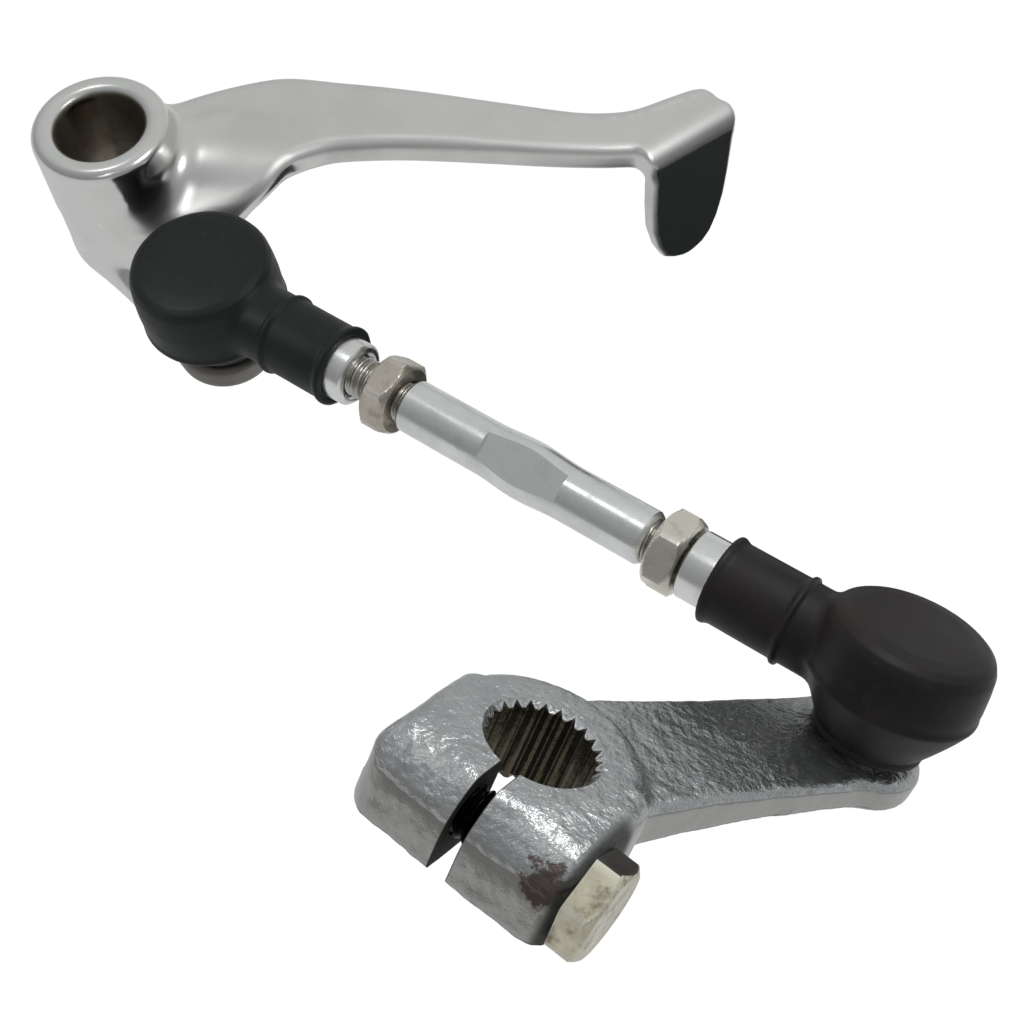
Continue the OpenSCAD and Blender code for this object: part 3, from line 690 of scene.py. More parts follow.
# %% Socket pieces
shank_end = 28.2
for name, place, node in (("front_socket_steel", LINK, "front_socket"),
                          ("rear_socket_steel", REAR, "rear_socket")):
    drum, drum_faces = lathe([
        (-5.5, 4.22), (-5.5, 6.0), (-5.2, 7.1), (-4.5, 7.85), (-3.3, 8.2), (4.5, 8.2), (5.5, 7.2), (5.5, 6.2), (3.9, 6.2),
        (3.9, 5.5), (0, 5.5), (-3.5, 4.22), (-5.5, 4.22),
    ], 96)
    drum = [(-v[2], v[1], v[0]) for v in drum]
    shank, shank_faces = lathe([
        (6.0, 3.1), (6.0, 4.6), (shank_end - 0.55, 4.6), (shank_end - 0.4, 4.56),
        (shank_end - 0.1, 4.25), (shank_end, 4.05), (shank_end, 3.55), (shank_end - 0.5, 3.04),
        (16.2, 3.04), (6.0, 3.04),
    ], 96)
    faces = drum_faces + [[i + len(drum) for i in f] for f in shank_faces]
    socket = piece(name, drum + shank, faces, "link", node, place)
    sharpen(socket, 28)

# %% [markdown]
# ## The tie rod
# A drawn bar is threaded at both ends. Two flats were pressed into its middle for a
# wrench, and the metal that they pushed aside makes the bar bulge on the other sides.

# %% Tie rod
rod_from, rod_to = 37.0, 75.8
rod_r, bulge_r, flat_half = 3.75, 4.15, 3.2
flat_at, flat_len, flat_turn = 56.8, 12.6, math.radians(26)


def rod_profile():
    """Half outline of the rod's plain middle, with chamfered ends and the bulge."""
    line = [(rod_from, 0), (rod_from, rod_r - 0.5), (rod_from + 0.15, rod_r - 0.3),
            (rod_from + 0.6, rod_r)]
    half = flat_len / 2 + 0.6
    for k in range(49):
        off = k / 24 - 1
        line.append((flat_at + off * half, rod_r + (bulge_r - rod_r) * 0.5 * (1 + math.cos(math.pi * off))))
    return line + [(rod_to - 0.6, rod_r), (rod_to - 0.15, rod_r - 0.3), (rod_to, rod_r - 0.5), (rod_to, 0)]


def block(centre_z):
    """A cutter for one flat: flat_len long, turned about the rod."""
    half = flat_len / 2
    corners = [(-half, -6), (half, -6), (half, 6), (-half, 6)]
    verts = []
    for level in (centre_z - 2, centre_z + 2):
        for px, py in corners:
            c, w = math.cos(flat_turn), math.sin(flat_turn)
            verts.append((flat_at + px, py * c - level * w, py * w + level * c))
    return verts, [(3, 2, 1, 0), (4, 5, 6, 7), (0, 1, 5, 4), (1, 2, 6, 5), (2, 3, 7, 6), (3, 0, 4, 7)]


verts, faces = lathe(rod_profile(), 128)
tie_rod = piece("tie_rod_steel", verts, faces, "link", "tie_rod", LINK)
for side in (-1, 1):
    verts, faces = block(side * (flat_half + 2))
    cut(tie_rod, verts, faces, LINK)
verts, faces = [], []
for v, f in (thread(17.0, rod_from + 0.4), thread(rod_to - 0.4, ball_span - 17.0)):
    faces += [[i + len(verts) for i in face] for face in f]
    verts += v
rod_thread = piece("tie_rod_threads", verts, faces, "link", None, LINK)
sharpen(tie_rod, 24)

# %% Lock nuts
for name, start, turn, node in (("front_lock_nut", 31.9, 8, "front_nut"),
                                ("rear_lock_nut", 77.1, 46, "rear_nut")):
    verts, faces = hex_body(10.0, 4.2, 0.85, True, hole=3.04)
    spin = Matrix.Translation((start * MM, 0, 0)) @ Matrix.Rotation(
        math.radians(turn + 90), 4, "X")
    nut = piece(name, verts, faces, "link", node, LINK @ spin)
    sharpen(nut, 20)

# %% [markdown]
# ## The pinch bolt
# A short bolt crosses the slit. Its head has flat sides, a rounded chamfer on top and a
# slightly scuffed plating. The thread shows in the slit and past the far ear.

# %% Pinch bolt
head, head_faces = hex_body(10.0, 3.4, 0.7, False)
shank, shank_faces = thread(-20.0, -0.05)
faces = head_faces + [[i + len(head) for i in f] for f in shank_faces]
bolt_place = BOSS @ Matrix.Translation((bolt_u * MM, ear_right * MM, bolt_z * MM)) \
    @ Matrix.Rotation(math.radians(90), 4, "Z") @ Matrix.Rotation(math.radians(40 + 90), 4, "X")
bolt = piece("pinch_bolt", head + shank, faces, "clamp", "clamp_bolt", bolt_place)
sharpen(bolt, 20)

# %% [markdown]
# ## Finishes: shared effects
# Small shader groups hold the effects that several metals share. A group only gives
# values: how cloudy a spot is, how pitted, how scratched. Each material then decides
# what to do with them on its own shader.

# %% Node helpers
def new_group(name, inputs, outputs):
    """An empty shader group with named sockets."""
    group = bpy.data.node_groups.new(name, "ShaderNodeTree")
    for label, value in inputs:
        kind = "NodeSocketVector" if label == "Vector" else "NodeSocketFloat"
        socket = group.interface.new_socket(label, in_out="INPUT", socket_type=kind)
        if value is not None:
            socket.default_value = value
    for label in outputs:
        group.interface.new_socket(label, in_out="OUTPUT", socket_type="NodeSocketFloat")
    return group, group.nodes.new("NodeGroupInput"), group.nodes.new("NodeGroupOutput")


def math_node(tree, operation, a, b=None, c=None, clamp=False):
    """One Math node; an input may be a number or a socket."""
    node = tree.nodes.new("ShaderNodeMath")
    node.operation = operation
    node.use_clamp = clamp
    for socket, value in zip(node.inputs, (a, b, c)):
        if value is None:
            continue
        if isinstance(value, (int, float)):
            socket.default_value = value
        else:
            tree.links.new(value, socket)
    return node.outputs[0]


def noise(tree, vector, scale, detail=3.0, rough_part=0.5, stretch=None):
    """Noise read at a vector, stretched by a mapping if asked."""
    if stretch:
        mapping = tree.nodes.new("ShaderNodeMapping")
        mapping.inputs["Scale"].default_value = stretch
        tree.links.new(vector, mapping.inputs["Vector"])
        vector = mapping.outputs[0]
    node = tree.nodes.new("ShaderNodeTexNoise")
    for label, value in (("Detail", detail), ("Roughness", rough_part)):
        node.inputs[label].default_value = value
    if isinstance(scale, (int, float)):
        node.inputs["Scale"].default_value = scale
    else:
        tree.links.new(scale, node.inputs["Scale"])
    tree.links.new(vector, node.inputs["Vector"])
    return node.outputs["Fac"]


def steps(tree, value, low, high):
    """0 below low, 1 above high, smooth between."""
    node = tree.nodes.new("ShaderNodeMapRange")
    node.interpolation_type = "SMOOTHSTEP"
    node.inputs["From Min"].default_value = low
    node.inputs["From Max"].default_value = high
    tree.links.new(value, node.inputs["Value"])
    return node.outputs[0]


# %% Group: clouded plating
clouds, gin, gout = new_group("Clouded plating", [("Vector", None), ("Scale", 120.0)],
                              ["Cloud", "Speck"])
cloud = noise(clouds, gin.outputs["Vector"], gin.outputs["Scale"], 4.0, 0.6)
speck_scale = math_node(clouds, "MULTIPLY", gin.outputs["Scale"], 9.0)
speck = noise(clouds, gin.outputs["Vector"], speck_scale, 2.0, 0.5)
clouds.links.new(steps(clouds, cloud, 0.35, 0.7), gout.inputs["Cloud"])
clouds.links.new(steps(clouds, speck, 0.62, 0.72), gout.inputs["Speck"])

# %% Group: hairline scratches
hairs, gin, gout = new_group("Hairline scratches", [("Vector", None), ("Scale", 500.0)], ["Mask"])
first = noise(hairs, gin.outputs["Vector"], gin.outputs["Scale"], 2.0, 0.4, (0.05, 1.6, 1.0))
second = noise(hairs, gin.outputs["Vector"], gin.outputs["Scale"], 2.0, 0.4, (1.3, 0.06, 1.0))
both = math_node(hairs, "MAXIMUM", steps(hairs, first, 0.66, 0.74), steps(hairs, second, 0.67, 0.75))
hairs.links.new(both, gout.inputs["Mask"])

# %% Group: worn edges and painted sheen
edges, gin, gout = new_group("Edge wear and sheen", [("Low", 0.52), ("High", 0.58)], ["Edge", "Crease"])
geometry = edges.nodes.new("ShaderNodeNewGeometry")
pointy = geometry.outputs["Pointiness"]
ramp = edges.nodes.new("ShaderNodeMapRange")
edges.links.new(pointy, ramp.inputs["Value"])
edges.links.new(gin.outputs["Low"], ramp.inputs["From Min"])
edges.links.new(gin.outputs["High"], ramp.inputs["From Max"])
edges.links.new(ramp.outputs[0], gout.inputs["Edge"])
edges.links.new(math_node(edges, "SUBTRACT", 1.0, steps(edges, pointy, 0.42, 0.5)),
                gout.inputs["Crease"])


# %% Material helpers
class Finish:
    """A material on its way: its tree, its shader and its place coordinates."""

    def __init__(self, name, color, metallic, roughness):
        self.material = bpy.data.materials.new(name)
        self.material.use_nodes = True
        self.tree = self.material.node_tree
        self.shader = self.tree.nodes["Principled BSDF"]
        self.shader.inputs["Metallic"].default_value = metallic
        self.shader.inputs["Roughness"].default_value = roughness
        self.color = color
        place = self.tree.nodes.new("ShaderNodeTexCoord")
        self.place = place.outputs["Object"]
        self.bumps = None

    def group(self, group, **values):
        """Places a shared group and sets its inputs."""
        node = self.tree.nodes.new("ShaderNodeGroup")
        node.node_tree = group
        for label, value in values.items():
            node.inputs[label].default_value = value
        if "Vector" in node.inputs:
            self.tree.links.new(self.place, node.inputs["Vector"])
        return node.outputs

    def paint(self, mask, color, base=None):
        """Mixes a colour over what is there by a mask."""
        mix = self.tree.nodes.new("ShaderNodeMix")
        mix.data_type = "RGBA"
        below = base if base is not None else self.color
        if isinstance(below, tuple):
            mix.inputs["A"].default_value = (*below, 1)
        else:
            self.tree.links.new(below, mix.inputs["A"])
        mix.inputs["B"].default_value = (*color, 1)
        self.tree.links.new(mask, mix.inputs["Factor"])
        self.color = mix.outputs["Result"]

    def blend_value(self, mask, low, high):
        """A value that runs from low to high with a mask."""
        node = self.tree.nodes.new("ShaderNodeMapRange")
        node.inputs["To Min"].default_value = low
        node.inputs["To Max"].default_value = high
        self.tree.links.new(mask, node.inputs["Value"])
        return node.outputs[0]

    def bump(self, height, strength, distance):
        """Stacks one bump on the ones before it."""
        node = self.tree.nodes.new("ShaderNodeBump")
        node.inputs["Strength"].default_value = strength
        node.inputs["Distance"].default_value = distance
        self.tree.links.new(height, node.inputs["Height"])
        if self.bumps is not None:
            self.tree.links.new(self.bumps, node.inputs["Normal"])
        self.bumps = node.outputs[0]

    def done(self, roughness=None):
        """Wires colour, roughness and bumps to the shader."""
        if isinstance(self.color, tuple):
            self.shader.inputs["Base Color"].default_value = (*self.color, 1)
        else:
            self.tree.links.new(self.color, self.shader.inputs["Base Color"])
        if roughness is not None:
            self.tree.links.new(roughness, self.shader.inputs["Roughness"])
        if self.bumps is not None:
            self.tree.links.new(self.bumps, self.shader.inputs["Normal"])
        return self.material

    def along(self, point, way):
        """Signed distance of each spot from a point, measured along a direction."""
        dot = self.tree.nodes.new("ShaderNodeVectorMath")
        dot.operation = "DOT_PRODUCT"
        self.tree.links.new(self.place, dot.inputs[0])
        dot.inputs[1].default_value = tuple(way)
        return math_node(self.tree, "SUBTRACT", dot.outputs["Value"], way.dot(point))

    def facing(self, way):
        """How squarely each spot faces along a direction, either way round."""
        coords = self.tree.nodes.new("ShaderNodeTexCoord")
        dot = self.tree.nodes.new("ShaderNodeVectorMath")
        dot.operation = "DOT_PRODUCT"
        self.tree.links.new(coords.outputs["Normal"], dot.inputs[0])
        dot.inputs[1].default_value = tuple(way)
        return math_node(self.tree, "ABSOLUTE", dot.outputs["Value"])

    def from_point(self, point):
        """Distance of each spot from a point, in metres."""
        gap = self.tree.nodes.new("ShaderNodeVectorMath")
        gap.operation = "DISTANCE"
        self.tree.links.new(self.place, gap.inputs[0])
        gap.inputs[1].default_value = tuple(point)
        return gap.outputs["Value"]

    def from_line(self, point, way):
        """Distance of each spot from a straight line, in metres."""
        shift = self.tree.nodes.new("ShaderNodeVectorMath")
        shift.operation = "SUBTRACT"
        self.tree.links.new(self.place, shift.inputs[0])
        shift.inputs[1].default_value = point
        cross = self.tree.nodes.new("ShaderNodeVectorMath")
        cross.operation = "CROSS_PRODUCT"
        self.tree.links.new(shift.outputs[0], cross.inputs[0])
        cross.inputs[1].default_value = way
        size = self.tree.nodes.new("ShaderNodeVectorMath")
        size.operation = "LENGTH"
        self.tree.links.new(cross.outputs[0], size.inputs[0])
        return size.outputs["Value"]


# %% [markdown]
# ## Chrome on the pedal
# Show chrome over a forging isn't a perfect mirror. Polishing leaves it slightly cloudy
# and wavy, years of boots leave hairlines, and the pivot bore holds a film of old brown
# grease. The bore is found by its distance from the pivot's axis.

# %% Pedal chrome
chrome = Finish("pedal_chrome", (0.74, 0.745, 0.73), 1.0, 0.2)
cloud = chrome.group(clouds, Scale=90.0)
hair = chrome.group(hairs, Scale=420.0)
wear_and_sheen = chrome.group(edges)
axis_gap = chrome.from_line((0, 0, 0), (0, 0, 1))
in_bore = math_node(chrome.tree, "SUBTRACT", 1.0, steps(chrome.tree, axis_gap, 0.0066, 0.0071))
near_tube = math_node(chrome.tree, "SUBTRACT", 1.0, steps(chrome.tree, axis_gap, 0.010, 0.022))
chrome.paint(cloud["Cloud"], (0.69, 0.695, 0.68))
chrome.paint(math_node(chrome.tree, "MULTIPLY", wear_and_sheen["Edge"], 0.35), (0.86, 0.86, 0.84), chrome.color)
grease = noise(chrome.tree, chrome.place, 300.0, 4.0, 0.6)
bore_mask = math_node(chrome.tree, "MULTIPLY", in_bore,
                      math_node(chrome.tree, "ADD", math_node(chrome.tree, "MULTIPLY", grease, 0.4), 0.72),
                      clamp=True)
chrome.paint(bore_mask, (0.16, 0.135, 0.095), chrome.color)
# Painted shade: the short arm's end under the front boot is darkened, for the boot's shadow and its dark
# reflection.
ball_gap = chrome.from_line(tuple(front_ball), (0, 0, 1))
painted_shade_under_boot = math_node(chrome.tree, "SUBTRACT", 1.0, steps(chrome.tree, ball_gap, 0.0090, 0.0106))
chrome.paint(math_node(chrome.tree, "MULTIPLY", painted_shade_under_boot, 0.9), (0.12, 0.11, 0.1), chrome.color)
wave = noise(chrome.tree, chrome.place, 55.0, 2.0, 0.5)
fine = noise(chrome.tree, chrome.place, 1600.0, 2.0, 0.5)
chrome.bump(wave, 0.08, 0.0006)
chrome.bump(fine, 0.04, 0.00005)
chrome.bump(hair["Mask"], 0.015, 0.00002)
tone = chrome.blend_value(cloud["Cloud"], 0.43, 0.5)
polish = chrome.tree.nodes.new("ShaderNodeMix")
chrome.tree.links.new(near_tube, polish.inputs["Factor"])
chrome.tree.links.new(tone, polish.inputs["A"])
polish.inputs["B"].default_value = 0.26
dirty = chrome.tree.nodes.new("ShaderNodeMix")
chrome.tree.links.new(in_bore, dirty.inputs["Factor"])
chrome.tree.links.new(polish.outputs[0], dirty.inputs["A"])
dirty.inputs["B"].default_value = 0.55
tab_front = steps(chrome.tree, chrome.facing(Vector((math.sin(tab_turn), -math.cos(tab_turn), 0))),
                  0.9, 0.97)
polished = math_node(chrome.tree, "MULTIPLY", dirty.outputs[0],
                     chrome.blend_value(tab_front, 1.0, 0.5))
pedal_chrome = chrome.done(polished)
pedal_forging.data.materials.append(pedal_chrome)

# %% [markdown]
# ## Chrome on the casting
# The clamp lever was plated without grinding, so every wrinkle and pit of the mould
# stays visible. Broad waves are already in the mesh. The finer pits, the cross wrinkles
# and random dark stains are shader work, and so is the painted shade in slit, bore and by the bolt head.

# %% Cast chrome
cast = Finish("cast_chrome", (0.48, 0.495, 0.5), 0.9, 0.25)
cloud = cast.group(clouds, Scale=210.0)
wear_and_sheen = cast.group(edges, Low=0.53, High=0.6)
boss_axis_gap = cast.from_line(tuple(boss_top), tuple(boss_up))
in_spline = math_node(cast.tree, "SUBTRACT", 1.0, steps(cast.tree, boss_axis_gap, 0.0064, 0.0066))
wrinkle = noise(cast.tree, cast.place, 900.0, 4.0, 0.62)
coarse = noise(cast.tree, cast.place, 330.0, 3.0, 0.55)
pit_cells = cast.tree.nodes.new("ShaderNodeTexVoronoi")
pit_cells.inputs["Scale"].default_value = 900.0
cast.tree.links.new(cast.place, pit_cells.inputs["Vector"])
pits = math_node(cast.tree, "SUBTRACT", 1.0, steps(cast.tree, pit_cells.outputs["Distance"], 0.08, 0.3))
stain = steps(cast.tree, noise(cast.tree, cast.place, 260.0, 6.0, 0.7), 0.56, 0.7)
cast.paint(cloud["Cloud"], (0.4, 0.415, 0.425))
cast.paint(math_node(cast.tree, "MULTIPLY", stain, 0.7), (0.17, 0.17, 0.17), cast.color)
cast.paint(math_node(cast.tree, "MULTIPLY", wear_and_sheen["Edge"], 0.5), (0.78, 0.79, 0.79), cast.color)
depth = cast.along(boss_top, boss_up)
across = cast.along(boss_top, BOSS.to_3x3().col[1])
outward = cast.along(boss_top, ear_way)
below_rim = steps(cast.tree, math_node(cast.tree, "MULTIPLY", depth, -1.0), 0.0006, 0.0009)
# The slit's walls past the bore get painted shade, as little light gets in between them.
painted_shade_in_slit = math_node(cast.tree, "SUBTRACT", 1.0, steps(
    cast.tree, math_node(cast.tree, "ABSOLUTE", across), 0.00117, 0.0013))
painted_shade_in_slit = math_node(cast.tree, "MULTIPLY", painted_shade_in_slit, steps(cast.tree, outward, 0.004, 0.005))
in_bore = math_node(cast.tree, "MULTIPLY", in_spline, below_rim)
upright = cast.facing(boss_up)
side = math_node(cast.tree, "SUBTRACT", 1.0, steps(cast.tree, upright, 0.2, 0.42))
bolt_axis = BOSS @ (Vector((bolt_u, 0, bolt_z)) * MM)
bolt_gap = cast.from_line(tuple(bolt_axis), tuple(BOSS.to_3x3().col[1]))
# Painted shade: the ear's side face round the bolt head, which the head shades, is painted dark.
painted_shade_by_head = math_node(cast.tree, "SUBTRACT", 1.0, steps(cast.tree, bolt_gap, 0.0075, 0.0105))
painted_shade_by_head = math_node(cast.tree, "MULTIPLY", painted_shade_by_head, steps(cast.tree, across, 0.0106, 0.0119))
rust_at = BOSS @ (Vector((13.0, 10.0, -3.6)) * MM)
rust_gap = math_node(cast.tree, "ADD", cast.from_point(rust_at),
                     math_node(cast.tree, "MULTIPLY", wrinkle, 0.006))
rust = math_node(cast.tree, "SUBTRACT", 1.0, steps(cast.tree, rust_gap, 0.0047, 0.0056))
cast.paint(math_node(cast.tree, "MULTIPLY", side, 0.9), (0.4, 0.395, 0.38), cast.color)
cast.paint(math_node(cast.tree, "MULTIPLY", rust, 0.85), (0.085, 0.05, 0.045), cast.color)
# Painted shade by the bolt head.
cast.paint(math_node(cast.tree, "MULTIPLY", painted_shade_by_head, 0.9), (0.04, 0.042, 0.036), cast.color)
# Painted shade in the bore: its walls are painted dark brown where little light gets in.
cast.paint(in_bore, (0.1, 0.088, 0.06), cast.color)
# Painted shade: the slit's walls go nearly black.
cast.paint(painted_shade_in_slit, (0.02, 0.018, 0.015), cast.color)
calm = math_node(cast.tree, "SUBTRACT", 1.0, math_node(cast.tree, "MULTIPLY", side, 0.75))
cast.bump(math_node(cast.tree, "MULTIPLY", coarse, calm), 0.65, 0.0005)
cast.bump(math_node(cast.tree, "MULTIPLY", wrinkle, calm), 0.85, 0.0003)
cast.bump(math_node(cast.tree, "MULTIPLY", pits, calm), -0.4, 0.00015)
# Where shade is painted, in the slit and by the bolt head, the metal also turns dull and matt.
black = math_node(cast.tree, "MAXIMUM", painted_shade_in_slit, math_node(cast.tree, "MULTIPLY", painted_shade_by_head, 0.9))
cast.tree.links.new(cast.blend_value(black, 0.9, 0.0), cast.shader.inputs["Metallic"])
cast_rough = math_node(cast.tree, "MAXIMUM", cast.blend_value(stain, 0.25, 0.5),
                       math_node(cast.tree, "MULTIPLY", black, 0.8))
cast_chrome = cast.done(cast_rough)
clamp_casting.data.materials.append(cast_chrome)

# %% [markdown]
# ## Zinc plating
# The rod, the sockets and the nuts are turned steel with bright zinc. Turning leaves
# fine rings round the axis, and zinc dulls in clouds. The nuts are warmer and the bolt
# head is yellowed and stained.

# %% Zinc finishes
def zinc(name, color, cloudy, roughness, grime, grime_color, ring_way=None, shade=False):
    """Plated steel: clouds, turning rings, grime, and if asked painted shade on the thread in the slit and on
    one head flat.
    """
    finish = Finish(name, color, 1.0, roughness)
    cloud = finish.group(clouds, Scale=260.0)
    hair = finish.group(hairs, Scale=700.0)
    wear_and_sheen = finish.group(edges, Low=0.52, High=0.57)
    finish.paint(cloud["Cloud"], cloudy)
    dirt = steps(finish.tree, noise(finish.tree, finish.place, 420.0, 5.0, 0.65), 0.5, 0.68)
    finish.paint(math_node(finish.tree, "MULTIPLY", dirt, grime), grime_color, finish.color)
    # Concave creases, found by pointiness, are made darker.
    finish.paint(math_node(finish.tree, "MULTIPLY", wear_and_sheen["Crease"], grime), grime_color, finish.color)
    finish.paint(math_node(finish.tree, "MULTIPLY", wear_and_sheen["Edge"], 0.4), (0.82, 0.82, 0.8), finish.color)
    if ring_way is not None:
        dot = finish.tree.nodes.new("ShaderNodeVectorMath")
        dot.operation = "DOT_PRODUCT"
        finish.tree.links.new(finish.place, dot.inputs[0])
        dot.inputs[1].default_value = tuple(ring_way)
        rings = finish.tree.nodes.new("ShaderNodeTexNoise")
        rings.noise_dimensions = "1D"
        rings.inputs["Scale"].default_value = 5000.0
        rings.inputs["Detail"].default_value = 2.0
        finish.tree.links.new(dot.outputs["Value"], rings.inputs["W"])
        finish.bump(rings.outputs["Fac"], 0.12, 0.00003)
    if shade:
        # Painted shade: the thread between the ears goes nearly black.
        gap = math_node(finish.tree, "ABSOLUTE", finish.along(boss_top, BOSS.to_3x3().col[1]))
        painted_slit_shade = math_node(finish.tree, "SUBTRACT", 1.0, steps(finish.tree, gap, 0.009, 0.0125))
        finish.paint(painted_slit_shade, (0.01, 0.009, 0.007), finish.color)
        # Painted shade: the head flat that faces most toward (0.5, 0.6, 0.5) is painted dark.
        turn = bolt_place.to_3x3()
        flats = [turn @ Vector((0, math.cos(k * math.pi / 3), math.sin(k * math.pi / 3)))
                 for k in range(6)]
        painted_dark_flat = max(flats, key=lambda flat: flat.dot(Vector((0.5, 0.6, 0.5))))
        finish.paint(steps(finish.tree, finish.facing(painted_dark_flat), 0.93, 0.98), (0.13, 0.12, 0.11),
                     finish.color)
    finish.bump(hair["Mask"], 0.08, 0.00003)
    finish.bump(cloud["Speck"], 0.1, 0.00004)
    return finish.done(finish.blend_value(cloud["Cloud"], roughness - 0.05, roughness + 0.1))


rod_zinc = zinc("rod_zinc", (0.8, 0.82, 0.81), (0.72, 0.74, 0.735), 0.26, 0.1, (0.3, 0.3, 0.28), rod_way)
nut_zinc = zinc("nut_zinc", (0.74, 0.71, 0.64), (0.66, 0.63, 0.55), 0.3, 0.3, (0.3, 0.27, 0.21))
brown_zinc = zinc("brown_zinc", (0.52, 0.48, 0.42), (0.44, 0.4, 0.34), 0.3, 0.45, (0.2, 0.16, 0.12))
thread_zinc = zinc("thread_zinc", (0.5, 0.49, 0.46), (0.4, 0.39, 0.36), 0.3, 0.5, (0.14, 0.12, 0.09))
bolt_zinc = zinc("bolt_zinc", (0.72, 0.69, 0.56), (0.56, 0.53, 0.41), 0.42, 0.75, (0.2, 0.16, 0.1), shade=True)
stud_steel = zinc("stud_steel", (0.42, 0.41, 0.39), (0.36, 0.35, 0.33), 0.34, 0.3, (0.12, 0.1, 0.08))
plug_steel = zinc("plug_steel", (0.56, 0.56, 0.54), (0.5, 0.5, 0.48), 0.35, 0.2, (0.2, 0.2, 0.18))
tie_rod.data.materials.append(rod_zinc)
rod_thread.data.materials.append(thread_zinc)
for name in ("front_socket_steel", "rear_socket_steel"):
    made[name].data.materials.append(rod_zinc)
made["front_lock_nut"].data.materials.append(brown_zinc)
made["rear_lock_nut"].data.materials.append(nut_zinc)
bolt.data.materials.append(bolt_zinc)
# %% [markdown]
# ## Rubber
# Moulded rubber is almost black with a faint green or brown cast. It has a very fine
# grain, a soft sheen painted on its edges and a little dust, which shows most on the skirt.

# %% Boot rubber
def rubber(name, color, dust_and_sheen, amount):
    """Black rubber with grain, a veil of dust and a sheen painted on its edges."""
    finish = Finish(name, color, 0.0, 0.5)
    finish.shader.inputs["Specular IOR Level"].default_value = 0.25
    cloud = finish.group(clouds, Scale=70.0)
    wear_and_sheen = finish.group(edges, Low=0.51, High=0.56)
    finish.paint(math_node(finish.tree, "MULTIPLY", cloud["Cloud"], amount), dust_and_sheen)
    # Painted sheen: the edges are lightened with the dust colour.
    finish.paint(math_node(finish.tree, "MULTIPLY", wear_and_sheen["Edge"], 0.3), dust_and_sheen, finish.color)
    finish.paint(math_node(finish.tree, "MULTIPLY", cloud["Speck"], 0.06), (0.1, 0.1, 0.09), finish.color)
    grain = noise(finish.tree, finish.place, 2600.0, 2.0, 0.5)
    finish.bump(noise(finish.tree, finish.place, 160.0, 2.0, 0.5), 0.1, 0.0002)
    finish.bump(grain, 0.12, 0.00004)
    return finish.done(finish.blend_value(cloud["Cloud"], 0.42, 0.58))


front_rubber = rubber("front_rubber", (0.008, 0.011, 0.011), (0.017, 0.02, 0.019), 0.5)
rear_rubber = rubber("rear_rubber", (0.009, 0.010, 0.010), (0.028, 0.02, 0.019), 0.6)
made["front_boot_rubber"].data.materials.append(front_rubber)
made["rear_boot_rubber"].data.materials.append(rear_rubber)

# %% Seat plastic and the other hidden pieces
ivory = Finish("seat_plastic", (0.72, 0.68, 0.58), 0.0, 0.4)
cloud = ivory.group(clouds, Scale=150.0)
ivory.paint(math_node(ivory.tree, "MULTIPLY", cloud["Cloud"], 0.6), (0.6, 0.54, 0.42))
ivory.bump(noise(ivory.tree, ivory.place, 900.0, 2.0, 0.5), 0.08, 0.00004)
seat_plastic = ivory.done(ivory.blend_value(cloud["Cloud"], 0.35, 0.5))
for node, material in (
    ("front_seat", seat_plastic), ("rear_seat", seat_plastic), ("front_stud", stud_steel),
    ("rear_stud", stud_steel), ("front_plug", plug_steel), ("rear_plug", plug_steel),
):
    mesh = frame["nodes"][node].data
    mesh.materials.clear()
    mesh.materials.append(material)
    print(node, "takes", material.name)

# %% [markdown]
# ## The studio
# Small chrome parts are lit by what they mirror. A pale floor and a grey sky give the
# broad tones, one soft box on the right gives the white glints, and a dark card, seen
# by reflections only, gives the toe tab its black face. The floor is matt and pale, and
# keeps a weak shadow.

# %% Floor and sky
low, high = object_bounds()
floor_z = -0.060
size = 3.0
floor_mesh = bpy.data.meshes.new("floor")
floor_mesh.from_pydata(
    [(-size, -size, floor_z), (size, -size, floor_z), (size, size, floor_z), (-size, size, floor_z)],
    [], [(0, 1, 2, 3)])
floor = bpy.data.objects.new("floor", floor_mesh)
bpy.context.collection.objects.link(floor)
floor_paint = bpy.data.materials.new("floor_paint")
floor_paint.use_nodes = True
tree = floor_paint.node_tree
matt = tree.nodes["Principled BSDF"]
matt.inputs["Base Color"].default_value = (0.9, 0.9, 0.9, 1)
matt.inputs["Roughness"].default_value = 0.9
glow = tree.nodes.new("ShaderNodeEmission")
glow.inputs["Color"].default_value = (1, 1, 1, 1)
glow.inputs["Strength"].default_value = 1.08
ray = tree.nodes.new("ShaderNodeLightPath")
mirrored = math_node(tree, "MAXIMUM", ray.outputs["Is Glossy Ray"], ray.outputs["Is Transmission Ray"])
seen = math_node(tree, "MAXIMUM", ray.outputs["Is Camera Ray"],
                 math_node(tree, "MULTIPLY", mirrored, 0.35))
share = math_node(tree, "MULTIPLY", seen, 0.9)
blend = tree.nodes.new("ShaderNodeMixShader")
tree.links.new(share, blend.inputs[0])
tree.links.new(matt.outputs[0], blend.inputs[1])
tree.links.new(glow.outputs[0], blend.inputs[2])
tree.links.new(blend.outputs[0], tree.nodes["Material Output"].inputs["Surface"])
floor.data.materials.append(floor_paint)

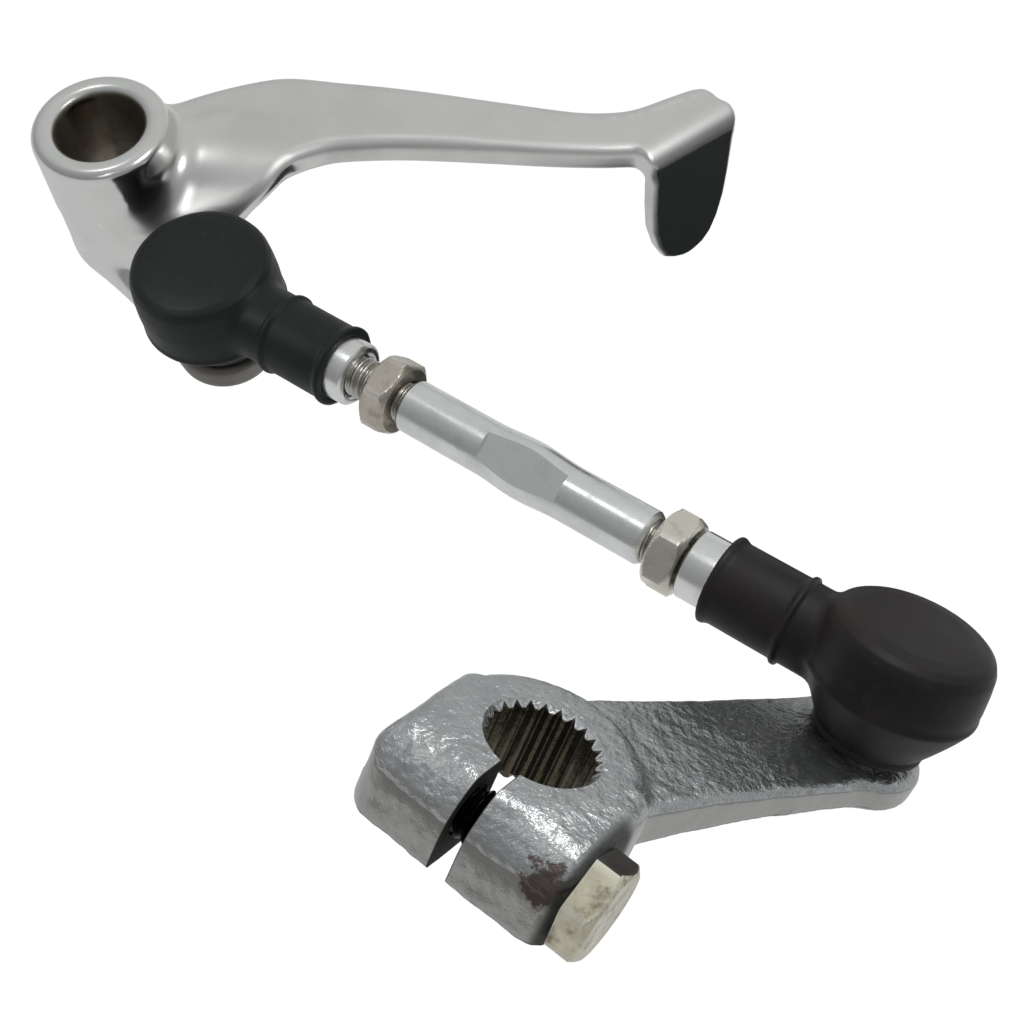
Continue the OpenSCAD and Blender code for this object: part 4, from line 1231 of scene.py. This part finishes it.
world = bpy.data.worlds.new("studio")
bpy.context.scene.world = world
world.use_nodes = True
tree = world.node_tree
sky = tree.nodes["Background"]
coords = tree.nodes.new("ShaderNodeTexCoord")
toward = tree.nodes.new("ShaderNodeVectorMath")
toward.operation = "DOT_PRODUCT"
toward.inputs[1].default_value = (0.35, 0.65, 0.67)
tree.links.new(coords.outputs["Generated"], toward.inputs[0])
ramp = tree.nodes.new("ShaderNodeValToRGB")
marks = ((0.0, (0.23, 0.23, 0.23)), (0.3, (0.28, 0.28, 0.28)), (0.63, (0.38, 0.385, 0.39)),
         (0.9, (0.58, 0.59, 0.585)), (1.0, (0.62, 0.62, 0.61)))
for spot, tint in marks[2:]:
    ramp.color_ramp.elements.new(spot)
for element, (spot, tint) in zip(ramp.color_ramp.elements, marks):
    element.position, element.color = spot, (*tint, 1)
place = math_node(tree, "MULTIPLY_ADD", toward.outputs["Value"], 0.5, 0.5)
tree.links.new(place, ramp.inputs[0])
tree.links.new(ramp.outputs[0], sky.inputs["Color"])
sky.inputs["Strength"].default_value = 1.0


# %% Lamps and the dark card
def soft_box(name, toward, distance, width, height, power):
    """An area lamp that looks at the middle of the object."""
    target = Vector((0.05, -0.04, 0.0))
    way = Vector(toward).normalized()
    lamp = bpy.data.lights.new(name, "AREA")
    lamp.shape = "RECTANGLE"
    lamp.size, lamp.size_y = width, height
    lamp.energy = power
    obj = bpy.data.objects.new(name, lamp)
    obj.location = target + way * distance
    obj.rotation_mode = "QUATERNION"
    obj.rotation_quaternion = way.to_track_quat("Z", "Y")
    bpy.context.collection.objects.link(obj)
    return obj


soft_box("near_box", (0.52, 0.03, 0.85), 0.126, 0.038, 0.038, 0.038)
side_box = soft_box("side_box", (-45.3, 9.7, 29.0), 0.0547, 0.011, 0.011, 0.0022)
side_box.visible_camera = False
soft_box("top_box", (-0.226, 0.24, 0.944), 0.8, 0.16, 0.16, 0.2)


def card(name, centre, toward, width, height, color, hidden):
    """A flat card that takes part in some kinds of rays only."""
    way = (Vector(toward) - Vector(centre)).normalized()
    turn = way.to_track_quat("Z", "Y").to_matrix()
    half = ((-width, -height), (width, -height), (width, height), (-width, height))
    corners = [Vector(centre) + turn @ Vector((a / 2, b / 2, 0)) for a, b in half]
    mesh = bpy.data.meshes.new(name)
    mesh.from_pydata([tuple(c) for c in corners], [], [(0, 1, 2, 3)])
    obj = bpy.data.objects.new(name, mesh)
    bpy.context.collection.objects.link(obj)
    paint = bpy.data.materials.new(name)
    paint.use_nodes = True
    paint.node_tree.nodes["Principled BSDF"].inputs["Base Color"].default_value = (*color, 1)
    paint.node_tree.nodes["Principled BSDF"].inputs["Roughness"].default_value = 1.0
    obj.data.materials.append(paint)
    for ray_kind in hidden:
        setattr(obj, f"visible_{ray_kind}", False)
    return obj


tab_spot = Vector((0.087, 0.002, -0.006))
unseen = ("camera", "diffuse", "shadow", "transmission")
dark_card = card("dark_card", tab_spot + Vector((0.42, -0.32, -0.80)) * 0.045, tab_spot,
                 0.088, 0.066, (0.02, 0.025, 0.025), unseen)
grey_card = card("grey_card", tab_spot + Vector((0.95, -0.28, 0.05)) * 0.05, tab_spot,
                 0.066, 0.07, (0.25, 0.25, 0.24), unseen)

# %% [markdown]
# ## The camera
# The picture was taken from above the rod with a normal lens. The camera's place and
# turn were solved from the ellipses of the pivot tube and the line of the rod.

# %% Camera
right = Vector((0.99925, 0.02373, -0.03063))
upward = Vector((-0.00594, 0.87507, 0.48396))
backward = Vector((0.03828, -0.48342, 0.87455))
lens_data = bpy.data.cameras.new("camera")
lens_data.sensor_width = 36.0
lens_data.lens = 36.0 * 1500 / 1024
lens_data.clip_start = 0.01
camera = bpy.data.objects.new("camera", lens_data)
bpy.context.collection.objects.link(camera)
camera.matrix_world = axes(Vector((0.068858, -0.153470, 0.174239)), right, upward, backward)
scene = bpy.context.scene
scene.camera = camera
scene.view_settings.view_transform = "Standard"
print("camera lens:", round(lens_data.lens, 2), "mm")
